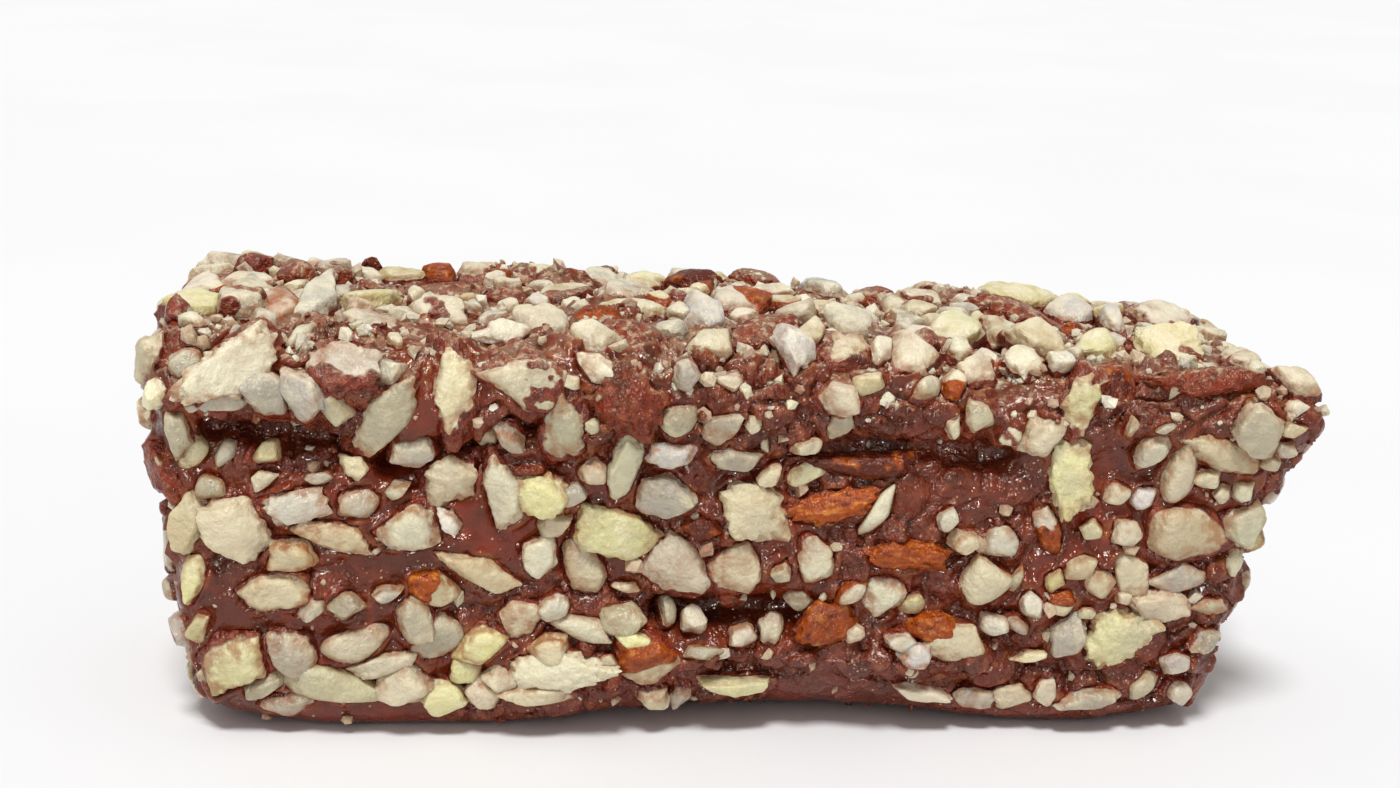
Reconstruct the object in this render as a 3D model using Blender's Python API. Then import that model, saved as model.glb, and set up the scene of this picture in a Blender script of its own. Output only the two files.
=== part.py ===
"""Almond toffee: a short bar of toffee in a chocolate coat, rolled in chopped almonds.

Lengths named here are millimetres, and MM turns them into metres. +X runs along the bar, -Y is
its front, +Z is up, and the origin is the middle of the flat underside.
"""

import math

import bmesh
import bpy
import numpy as np
from mathutils import Matrix, Vector, noise
from mathutils.bvhtree import BVHTree

MM = 0.001
NAME = "almond_toffee"
ALONG = Vector((1, 0, 0))
FRONT = Vector((0, -1, 0))
TOP = Vector((0, 0, 1))

# The coated bar, without its almonds
LENGTH = 44.6
DEPTH = 13.4
HEIGHT_LEFT = 16.2
HEIGHT_RIGHT = 14.6
CROWNS = ((-0.5, 13.0, 0.55), (18.6, 2.6, 0.5))  # swells of the top: x of the middle, half its reach, rise
EDGE_RADIUS = 1.9
EDGE_CUT = 0.4  # where a cut runs round each rounded edge, as a share of its radius
CELL = 1.8
LEAN_LEFT = 1.5  # how far each end draws in towards the underside, most of it near the foot
LEAN_RIGHT = 2.8
LEAN_CURVE = 1.6
LUMP = 0.56  # unevenness of the dipped faces, and the distance from one lump to the next
LUMP_PITCH = 5.5
LUMP_FREE = 0.12  # share of the height over which the lumps fade out towards the underside

# The hollow under the front edge, how much it rises at the ends, and the share of the height it fades over
ARCH_RISE = 1.5
ARCH_CENTRE = 1.8
ARCH_HALF = 11.5
ARCH_REACH = 4.0
ARCH_FADE = 0.25
END_RISE = 0.8
END_SHARES = (0.72, 0.98)

# The thick coat that laps over the front, the corner that hangs out, and the ridge at its foot
LAP_OUT = 0.55
LAP_LEVEL = 12.3
LAP_BLEND = 0.8
EAR_OUT = 2.5
EAR_LEVEL = 13.9
EAR_ABOVE = 2.8
EAR_BELOW = 4.4
EAR_REACH = 5.0
RIDGE_OUT = 0.7
RIDGE_LEVEL = 3.2
RIDGE_HALF = 0.9
RIDGE_FROM = -3.0
RIDGE_TO = 11.0
RIDGE_BLEND = 1.0
# Creases in the front: x and z of one end, x and z of the other, depth
CREASES = (
    (-20.0, 12.5, -15.0, 12.2, 0.9),
    (-15.0, 12.2, -12.4, 11.1, 0.9),
    (-12.4, 11.1, -6.0, 13.9, 0.8),
    (4.0, 12.0, 10.5, 11.8, 0.6),
    (-2.6, 5.2, 2.8, 5.1, 0.8),
)
CREASE_HALF = 0.8

# Chopped almonds on the front: x and z of the middle, length, width, turn in degrees
FRONT_ALMONDS = (
    (-18.9, 15.5, 3.6, 1.9, 25), (-15.1, 15.4, 2.9, 2.1, -8), (-17.8, 13.9, 1.9, 1.5, -40),
    (-16.6, 13.9, 2.0, 1.3, -50), (-19.4, 13.3, 2.0, 1.0, -3), (-13.5, 13.0, 3.6, 1.6, 60),
    (-16.9, 9.8, 2.5, 1.4, 0), (-14.3, 9.9, 1.8, 1.6, 0), (-12.6, 9.0, 2.4, 1.5, 30),
    (-19.3, 8.6, 3.0, 1.9, -35), (-17.2, 7.6, 1.7, 1.1, 25), (-15.6, 8.5, 3.0, 1.2, -20),
    (-17.9, 6.0, 3.3, 1.7, 12), (-19.5, 3.1, 2.8, 2.3, 0), (-17.1, 3.5, 2.1, 1.6, -20),
    (-14.6, 3.7, 2.8, 1.4, 25), (-13.5, 3.0, 2.7, 0.8, 14), (-15.7, 2.1, 3.1, 1.5, -10),
    (-12.9, 2.1, 2.2, 1.6, 10), (-12.3, 5.0, 2.0, 1.4, -60), (-11.7, 6.2, 1.9, 1.4, -25),
    (-10.9, 14.6, 3.9, 1.9, 92), (-11.1, 10.7, 2.0, 1.9, 0), (-9.0, 10.2, 3.0, 1.4, -75),
    (-7.5, 10.1, 2.0, 1.8, 0), (-7.0, 12.4, 2.9, 2.1, 70), (-7.8, 14.9, 2.9, 2.4, 0),
    (-5.6, 16.0, 2.2, 1.1, -30), (-4.6, 14.3, 2.6, 2.4, 0), (-4.4, 10.9, 2.9, 1.2, 80),
    (-2.7, 11.7, 1.9, 1.0, 5), (-2.8, 10.0, 2.4, 1.8, -10), (-4.6, 8.6, 3.0, 2.1, -8),
    (-5.8, 7.2, 2.6, 1.8, -70), (-7.4, 7.6, 1.6, 1.3, 60), (-9.6, 6.9, 3.2, 1.1, -28),
    (-2.3, 6.5, 2.6, 2.4, 0), (-8.3, 5.0, 2.1, 1.7, -20), (-5.8, 4.8, 2.3, 0.9, -18),
    (-4.4, 5.2, 1.8, 1.1, 0), (-9.7, 4.0, 2.1, 1.2, 38), (-11.4, 4.1, 2.0, 1.6, 45),
    (-7.1, 3.0, 4.0, 1.5, 0), (-3.5, 3.1, 2.4, 1.9, 20), (0.1, 6.6, 2.5, 2.3, 0),
    (0.7, 9.7, 2.6, 2.3, -10), (0.0, 11.4, 1.9, 0.9, 0), (-0.8, 12.8, 1.7, 1.3, 30),
    (3.7, 14.4, 1.5, 1.4, 0), (2.6, 10.8, 1.7, 1.0, 22), (3.7, 9.9, 3.1, 1.4, 8),
    (5.6, 9.7, 1.6, 0.8, 70), (3.1, 7.6, 2.2, 1.6, -75), (3.6, 5.3, 2.5, 1.7, 15),
    (6.0, 5.9, 1.8, 1.6, 0), (7.0, 7.7, 3.2, 1.2, -3), (9.8, 6.5, 2.0, 1.9, 0),
    (8.9, 4.4, 2.4, 1.5, 20), (8.2, 5.1, 2.0, 1.1, 0), (4.8, 11.7, 4.3, 0.9, -2),
    (10.6, 8.3, 1.4, 1.4, 0), (13.3, 14.1, 2.7, 1.6, 85), (11.8, 12.5, 1.5, 1.2, 40),
    (12.9, 11.2, 2.9, 1.8, -80), (16.2, 11.7, 1.7, 0.9, 50), (17.4, 11.1, 2.6, 1.4, 80),
    (19.4, 11.7, 2.9, 1.3, -28), (20.2, 13.0, 2.4, 1.9, -60), (18.0, 8.6, 3.3, 2.5, 0),
    (20.8, 8.8, 1.7, 1.6, 0), (16.0, 7.0, 2.1, 1.3, -60), (14.8, 6.7, 1.4, 1.3, 0),
    (18.2, 6.6, 2.1, 1.1, 10), (17.5, 5.4, 2.7, 1.2, -5), (19.8, 5.3, 1.5, 0.8, 0),
    (15.6, 4.2, 2.8, 2.4, 50), (13.6, 4.2, 1.4, 1.3, 45), (12.3, 9.0, 2.2, 1.0, -70),
    (14.7, 16.9, 2.1, 2.0, 0), (18.2, 16.4, 3.7, 1.1, 3),
)
# Chopped almonds on the top: x and y of the middle, length, width, turn in degrees
TOP_ALMONDS = (
    (-21.1, -2.2, 2.3, 2.0, 172), (-19.2, -2.9, 1.9, 1.6, -25), (-17.7, -2.9, 2.8, 2.0, 80),
    (-16.2, -2.3, 2.7, 1.4, 80), (-14.0, -3.9, 2.6, 1.4, -18), (-11.6, -2.6, 2.2, 1.9, 0),
    (-11.9, 3.1, 4.2, 2.0, -5), (-17.5, 2.9, 2.0, 1.6, -20), (-7.3, 4.6, 3.1, 1.8, 5),
    (-8.9, 0.9, 2.0, 1.4, 0), (-6.5, 1.0, 2.1, 1.4, 15), (-7.6, -4.0, 2.4, 1.9, -25),
    (-3.0, 4.9, 2.2, 2.0, 0), (-1.1, 3.3, 2.1, 1.5, -20), (-4.0, -1.7, 2.9, 1.2, -3),
    (-5.7, -3.2, 2.4, 1.4, 5), (-3.9, -5.5, 2.4, 2.1, 0), (-5.6, -5.9, 2.1, 1.5, -30),
    (-0.9, -2.4, 1.9, 1.6, 110), (2.0, 4.5, 2.7, 1.6, 0), (0.9, -4.6, 3.2, 1.9, 22),
    (2.0, -7.3, 1.9, 1.3, 100), (6.9, 5.0, 2.2, 1.9, 0), (5.0, -1.9, 2.3, 2.1, -12),
    (13.5, 4.5, 3.5, 1.3, 0), (12.8, 1.4, 4.1, 2.1, -18), (9.3, -2.3, 2.3, 1.9, 20),
    (7.1, -6.2, 2.2, 2.0, -10), (9.6, -7.2, 1.9, 1.6, 60), (12.3, -3.2, 2.3, 1.6, -33),
    (11.3, -1.1, 2.3, 1.5, -60), (15.4, 3.2, 2.2, 1.9, 0), (4.0, -6.3, 2.4, 2.0, 0),
    (19.2, 1.8, 3.0, 2.6, 70), (-22.7, -0.5, 2.3, 1.8, 60), (-22.5, 2.4, 2.0, 1.6, 20),
    (17.1, -3.9, 2.9, 2.4, 20), (14.7, -3.4, 1.8, 1.5, 25),
)

# Every almond: a block trimmed by knife cuts round its sides and two that meet in a ridge on its top
ALMOND_SEED = 7
THICKNESS_SHARE = 0.85  # of its width
THICKNESS_LEAST = 1.0
THICKNESS_MOST = 2.1
PROUD_LEAST = 0.4  # how far it stands out of the coat
PROUD_MOST = 1.0
PROUD_SHARE = 0.75  # of its thickness, at most
SIDE_CUTS = 5
SIDE_CUT_JITTER = 0.33  # of the angle from one side cut to the next
SIDE_CUT_NEAREST = 0.85  # how near the middle the cuts come, as a share of the half size
SIDE_CUT_FARTHEST = 1.1
SIDE_CUT_SLOPE = 0.45
TOP_CUT_SLOPES = (0.05, 0.36)
TOP_CUT_NEAREST = 0.85
UNCUT_HALF = 1.5
TILT = 11.0  # most degrees off level, each way
TOP_LEAN = 1.5  # how much those on the top face the front and stand out, most at the front edge
TOP_LIFT = 0.3
FLOOR_GAP = 0.25  # between the almonds and the plane of the underside

# The almonds between those of the top list and on the ends and the back
SCATTER_SEED = 11
SCATTER_DRAWS = 6000
SCATTER_COUNT = 88
SCATTER_LONG = (1.6, 3.0)
SCATTER_SLIMNESS = (0.5, 0.85)
SCATTER_APART = 0.56  # of the two lengths, from one middle to the next
SCATTER_LOWEST = 1.3
SCATTER_FARTHEST = 22.6  # along the bar, short of the corner that hangs out
FRONT_NORMAL = -0.55  # a place that faces the front more than this belongs to FRONT_ALMONDS


def smooth_step(low, high, value):
    share = min(max((value - low) / (high - low), 0.0), 1.0)
    return share * share * (3 - 2 * share)


def hump(value):
    """1 at the middle of a stretch from -1 to 1, and 0 outside it."""
    return (1 - value * value) ** 2 if abs(value) < 1 else 0.0


def stations(low, high):
    """Where the block is cut across one axis: a finer cell in each rounded edge, even ones between."""
    first = low + EDGE_RADIUS
    last = high - EDGE_RADIUS
    cells = max(1, round((last - first) / CELL))
    even = [first + (last - first) * i / cells for i in range(cells + 1)]
    return [low + EDGE_RADIUS * EDGE_CUT, *even, high - EDGE_RADIUS * EDGE_CUT]


def crease_depth(x, z):
    """How far the nearest creases draw the front in at x, z."""
    deepest = 0.0
    for x_from, z_from, x_to, z_to, depth in CREASES:
        run = Vector((x_to - x_from, z_to - z_from))
        away = Vector((x - x_from, z - z_from))
        share = min(max(away.dot(run) / run.length_squared, 0.0), 1.0)
        distance = (away - run * share).length
        deepest = max(deepest, depth * math.exp(-((distance / CREASE_HALF) ** 2)))
    return deepest


def front_relief(x, z):
    """How far the front stands out at x, z: the lap of the top coat, its creases, the ridge at its foot."""
    out = LAP_OUT * smooth_step(LAP_LEVEL - LAP_BLEND, LAP_LEVEL + LAP_BLEND, z) - LAP_OUT / 2
    along_ridge = smooth_step(RIDGE_FROM - RIDGE_BLEND, RIDGE_FROM + RIDGE_BLEND, x)
    along_ridge *= smooth_step(RIDGE_TO + RIDGE_BLEND, RIDGE_TO - RIDGE_BLEND, x)
    out += RIDGE_OUT * along_ridge * math.exp(-(((z - RIDGE_LEVEL) / RIDGE_HALF) ** 2))
    return out - crease_depth(x, z)


def shaped(point):
    """The place on the dipped bar of a point on the plain block."""
    inner = Vector((LENGTH / 2 - EDGE_RADIUS, DEPTH / 2 - EDGE_RADIUS, HEIGHT_LEFT / 2 - EDGE_RADIUS))
    local = point - Vector((0, 0, HEIGHT_LEFT / 2))
    nearest = Vector([min(max(value, -limit), limit) for value, limit in zip(local, inner)])
    normal = (local - nearest).normalized()
    x, y, z = nearest + normal * EDGE_RADIUS
    z += HEIGHT_LEFT / 2
    up = z / HEIGHT_LEFT
    along = x / LENGTH + 0.5
    z *= 1 + (HEIGHT_RIGHT / HEIGHT_LEFT - 1) * along
    lean = LEAN_LEFT if x < 0 else LEAN_RIGHT
    outer = abs(2 * along - 1)
    x *= 1 - 2 * lean / LENGTH * max(1 - up, 0.0) ** LEAN_CURVE * outer
    z += sum(rise * hump((x - centre) / half) for centre, half, rise in CROWNS) * up
    facing_front = max(-normal.y, 0.0)
    y -= front_relief(x, z) * facing_front
    lump = LUMP * noise.noise(Vector((x, y, z)) / LUMP_PITCH) * smooth_step(0.0, LUMP_FREE, up)
    x, y, z = Vector((x, y, z)) + normal * lump
    ear = hump((z - EAR_LEVEL) / (EAR_ABOVE if z > EAR_LEVEL else EAR_BELOW))
    x += EAR_OUT * ear * smooth_step(LENGTH / 2 - EAR_REACH, LENGTH / 2, x) * facing_front
    under_front = smooth_step(ARCH_REACH - DEPTH / 2, -DEPTH / 2, y)
    rise = ARCH_RISE * hump((x - ARCH_CENTRE) / ARCH_HALF) + END_RISE * smooth_step(*END_SHARES, outer)
    z += rise * under_front * (1 - smooth_step(0.0, ARCH_FADE, up))
    return Vector((x, y, z))


def bar_mesh():
    """The dipped bar: a block cut into cells, each corner moved to its place."""
    cage = bmesh.new()
    bmesh.ops.create_cube(cage, size=1)
    for vertex in cage.verts:
        vertex.co = Vector((vertex.co.x * LENGTH, vertex.co.y * DEPTH, (vertex.co.z + 0.5) * HEIGHT_LEFT))
    spans = ((-LENGTH / 2, LENGTH / 2), (-DEPTH / 2, DEPTH / 2), (0, HEIGHT_LEFT))
    for axis, (low, high) in enumerate(spans):
        across = Vector([float(axis == other) for other in range(3)])
        for station in stations(low, high):
            everything = cage.verts[:] + cage.edges[:] + cage.faces[:]
            bmesh.ops.bisect_plane(cage, geom=everything, plane_co=across * station, plane_no=across)
    for vertex in cage.verts:
        vertex.co = shaped(vertex.co)
    bmesh.ops.triangulate(cage, faces=cage.faces)
    bmesh.ops.recalc_face_normals(cage, faces=cage.faces)
    return cage


def knife_cuts(draw):
    """The cuts that shape one almond, as directions out of it and a point on each."""
    start = draw.uniform(0, 1)
    steps = start + np.arange(SIDE_CUTS) + draw.uniform(-SIDE_CUT_JITTER, SIDE_CUT_JITTER, SIDE_CUTS)
    angles = steps * 2 * math.pi / SIDE_CUTS
    slopes = draw.uniform(0, SIDE_CUT_SLOPE, SIDE_CUTS)
    depths = draw.uniform(SIDE_CUT_NEAREST, SIDE_CUT_FARTHEST, SIDE_CUTS)
    cuts = []
    for angle, slope, depth in zip(angles, slopes, depths):
        outward = Vector((math.cos(angle), math.sin(angle), slope))
        cuts.append((outward, outward.normalized() * depth))
    ridge = draw.uniform(0, math.pi)
    top_slopes = draw.uniform(*TOP_CUT_SLOPES, 2)
    top_depths = draw.uniform(TOP_CUT_NEAREST, 1, 2)
    for side, slope, depth in zip((0, math.pi), top_slopes, top_depths):
        outward = Vector((slope * math.cos(ridge + side), slope * math.sin(ridge + side), 1))
        cuts.append((outward, TOP * depth))
    return cuts


def chopped_block(cuts):
    """A block about a unit in half size, trimmed by the cuts."""
    chunk = bmesh.new()
    bmesh.ops.create_cube(chunk, size=2)
    bmesh.ops.scale(chunk, vec=(UNCUT_HALF, UNCUT_HALF, 1), verts=chunk.verts)
    for outward, place in cuts:
        everything = chunk.verts[:] + chunk.edges[:] + chunk.faces[:]
        sliced = bmesh.ops.bisect_plane(
            chunk, geom=everything, plane_co=place, plane_no=outward, clear_outer=True
        )
        rim = [piece for piece in sliced["geom_cut"] if isinstance(piece, bmesh.types.BMEdge)]
        bmesh.ops.contextual_create(chunk, geom=rim)
    return chunk


def almond(number, place, normal, right, size, turn, collection):
    """One chopped almond: it lies along right turned by turn degrees about normal, partly sunk at place."""
    draw = np.random.default_rng((ALMOND_SEED, number))
    length, width = size
    thickness = min(max(width * THICKNESS_SHARE, THICKNESS_LEAST), THICKNESS_MOST)
    proud = min(draw.uniform(PROUD_LEAST, PROUD_MOST), thickness * PROUD_SHARE)
    tilts = np.radians(draw.uniform(-TILT, TILT, 2))
    chunk = chopped_block(knife_cuts(draw))
    across = normal.cross(right).normalized()
    along = across.cross(normal)
    frame = Matrix((along, across, normal)).transposed().to_4x4()
    frame = frame @ Matrix.Rotation(math.radians(turn), 4, "Z")
    frame = frame @ Matrix.Rotation(tilts[0], 4, "X") @ Matrix.Rotation(tilts[1], 4, "Y")
    half = Vector((length / 2, width / 2, thickness / 2))
    middle = place - normal * (thickness / 2 - proud)
    for vertex in chunk.verts:
        vertex.co = middle + frame @ (vertex.co * half)
    sag = min(vertex.co.z for vertex in chunk.verts) - FLOOR_GAP
    bmesh.ops.translate(chunk, verts=chunk.verts, vec=(0, 0, max(-sag, 0)))
    return mesh_object(f"almond_{number}", chunk, collection)


def mesh_object(name, cage, collection):
    """A new object of the cage, from millimetres to metres."""
    bmesh.ops.scale(cage, vec=(MM, MM, MM), verts=cage.verts)
    mesh = bpy.data.meshes.new(name)
    cage.to_mesh(mesh)
    cage.free()
    made = bpy.data.objects.new(name, mesh)
    collection.objects.link(made)
    return made


def listed_almonds(bar, collection):
    """The almonds of the two lists, each where the bar comes nearest to its place on the plain face."""
    on_front = [(Vector((x, -DEPTH / 2, z)), FRONT, 0, *rest) for x, z, *rest in FRONT_ALMONDS]
    on_top = [(Vector((x, y, HEIGHT_LEFT)), TOP, 0.5 - y / DEPTH, *rest) for x, y, *rest in TOP_ALMONDS]
    taken = []
    for number, (spot, outward, forward, length, width, turn) in enumerate(on_front + on_top):
        place, normal, _, _ = bar.find_nearest(spot + outward)
        normal = (normal + (outward + FRONT * TOP_LEAN * forward).normalized()).normalized()
        place += TOP * TOP_LIFT * forward
        almond(number, place, normal, ALONG, (length, width), turn, collection)
        taken.append((place, length))
    return taken


def scattered_almonds(cage, taken, collection):
    """The other faces' almonds, largest first: seeded draws, kept where they lie clear of those before."""
    draw = np.random.default_rng(SCATTER_SEED)
    faces = cage.faces[:]
    areas = np.array([face.calc_area() for face in faces])
    chosen = draw.choice(len(faces), SCATTER_DRAWS, p=areas / areas.sum())
    lengths = np.sort(draw.uniform(*SCATTER_LONG, SCATTER_DRAWS))[::-1]
    wanted = len(taken) + SCATTER_COUNT
    for index, length in zip(chosen, lengths):
        weights = draw.dirichlet((1, 1, 1))
        slimness = draw.uniform(*SCATTER_SLIMNESS)
        turn = draw.uniform(0, 360)
        normal = faces[index].normal
        place = sum((corner.co * share for corner, share in zip(faces[index].verts, weights)), Vector())
        close = any((place - other).length < SCATTER_APART * (length + reach) for other, reach in taken)
        outside = normal.y < FRONT_NORMAL or place.z < SCATTER_LOWEST or place.x > SCATTER_FARTHEST
        if close or outside:
            continue
        almond(len(taken), place, normal, normal.orthogonal(), (length, length * slimness), turn, collection)
        taken.append((place, length))
        if len(taken) == wanted:
            break


def keep_outer_shell(mesh):
    """Drops the loose scraps and the walls of sealed hollows that joining the almonds can leave."""
    cage = bmesh.new()
    cage.from_mesh(mesh)
    unseen = set(cage.verts)
    shells = []
    while unseen:
        front = [unseen.pop()]
        shell = list(front)
        while front:
            near = {edge.other_vert(vertex) for vertex in front for edge in vertex.link_edges} & unseen
            unseen -= near
            front = list(near)
            shell += front
        shells.append(shell)
    largest = max(shells, key=len)
    scraps = [vertex for shell in shells if shell is not largest for vertex in shell]
    bmesh.ops.delete(cage, geom=scraps, context="VERTS")
    cage.to_mesh(mesh)
    cage.free()


def coat_material():
    """Reddish brown milk chocolate, half covered by almonds."""
    material = bpy.data.materials.new("almonds_in_chocolate")
    material.use_nodes = True
    shader = material.node_tree.nodes["Principled BSDF"]
    shader.inputs["Base Color"].default_value = (0.42, 0.24, 0.15, 1)
    shader.inputs["Roughness"].default_value = 0.45
    shader.inputs["Metallic"].default_value = 0
    return material


def clear_scene():
    for leftover in list(bpy.data.objects):
        bpy.data.objects.remove(leftover)


def new_collection(name):
    collection = bpy.data.collections.new(name)
    bpy.context.scene.collection.children.link(collection)
    return collection


def main():
    clear_scene()
    sweet = new_collection(NAME)
    almonds = new_collection("almonds")
    cage = bar_mesh()
    taken = listed_almonds(BVHTree.FromBMesh(cage), almonds)
    scattered_almonds(cage, taken, almonds)
    toffee = mesh_object(NAME, cage, sweet)
    toffee.data.materials.append(coat_material())
    union = toffee.modifiers.new("almonds", "BOOLEAN")
    union.operation = "UNION"
    union.solver = "EXACT"
    union.operand_type = "COLLECTION"
    union.collection = almonds
    bpy.context.view_layer.update()
    joined = bpy.data.meshes.new_from_object(toffee.evaluated_get(bpy.context.evaluated_depsgraph_get()))
    toffee.modifiers.clear()
    toffee.data = joined
    for piece in list(almonds.objects):
        bpy.data.objects.remove(piece)
    bpy.data.collections.remove(almonds)
    keep_outer_shell(joined)


main()
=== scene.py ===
"""An almond toffee: a bar in a chocolate coat, rolled in chopped almonds, on a plain stage.

Lengths in the tables and constants are millimetres, and MM turns them into metres. +X runs along
the bar, -Y is its front and +Z is up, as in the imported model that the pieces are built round.
"""

import math
from functools import cache

import bmesh
import bpy
import numpy as np
from bpy.props import FloatProperty, FloatVectorProperty, IntProperty, PointerProperty
from mathutils import Matrix, Vector, noise
from mathutils.bvhtree import BVHTree


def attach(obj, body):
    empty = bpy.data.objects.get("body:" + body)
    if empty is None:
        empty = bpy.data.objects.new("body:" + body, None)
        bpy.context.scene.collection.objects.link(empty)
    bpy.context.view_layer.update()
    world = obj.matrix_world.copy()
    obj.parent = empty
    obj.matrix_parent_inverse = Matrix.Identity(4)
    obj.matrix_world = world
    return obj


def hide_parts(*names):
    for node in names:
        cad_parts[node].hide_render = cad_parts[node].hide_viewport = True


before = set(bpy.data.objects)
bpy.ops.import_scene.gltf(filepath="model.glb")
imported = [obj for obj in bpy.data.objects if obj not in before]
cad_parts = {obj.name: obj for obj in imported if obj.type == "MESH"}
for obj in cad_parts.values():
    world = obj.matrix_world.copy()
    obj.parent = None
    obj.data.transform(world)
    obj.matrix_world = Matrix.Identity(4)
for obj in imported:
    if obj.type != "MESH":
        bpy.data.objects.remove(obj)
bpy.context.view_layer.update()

bl_info = {
    "name": "Almond Toffee",
    "version": (1, 0, 0),
    "blender": (4, 5, 0),
    "location": "3D View > Sidebar > Toffee",
    "description": "A toffee bar in a chocolate coat with chopped almonds, and its stage",
    "category": "Add Mesh",
}

MM = 0.001
NODE = "almond_toffee"
ALONG = Vector((1, 0, 0))
FRONT = Vector((0, -1, 0))
TOP = Vector((0, 0, 1))

# The coated bar, without its almonds
LENGTH = 44.6
DEPTH = 13.4
HEIGHT_LEFT = 16.2
HEIGHT_RIGHT = 14.6
CROWNS = ((-0.5, 13.0, 0.55), (18.6, 2.6, 0.5))
EDGE_RADIUS = 1.9
EDGE_CUT = 0.4
CELL = 1.8
LEAN_LEFT = 1.5
LEAN_RIGHT = 2.8
LEAN_CURVE = 1.6
LUMP = 0.56
LUMP_PITCH = 5.5
LUMP_FREE = 0.12
ARCH_RISE = 1.5
ARCH_CENTRE = 1.8
ARCH_HALF = 11.5
ARCH_REACH = 4.0
ARCH_FADE = 0.25
END_RISE = 0.8
END_SHARES = (0.72, 0.98)
LAP_OUT = 0.55
LAP_LEVEL = 12.3
LAP_BLEND = 0.8
EAR_OUT = 2.5
EAR_LEVEL = 13.9
EAR_ABOVE = 2.8
EAR_BELOW = 4.4
EAR_REACH = 5.0
RIDGE_OUT = 0.7
RIDGE_LEVEL = 3.2
RIDGE_HALF = 0.9
RIDGE_FROM = -3.0
RIDGE_TO = 11.0
RIDGE_BLEND = 1.0
CREASES = (
    (-20.0, 12.5, -15.0, 12.2, 0.9),
    (-15.0, 12.2, -12.4, 11.1, 0.9),
    (-12.4, 11.1, -6.0, 13.9, 0.8),
    (4.0, 12.0, 10.5, 11.8, 0.6),
    (-2.6, 5.2, 2.8, 5.1, 0.8),
)
CREASE_HALF = 0.8

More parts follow.
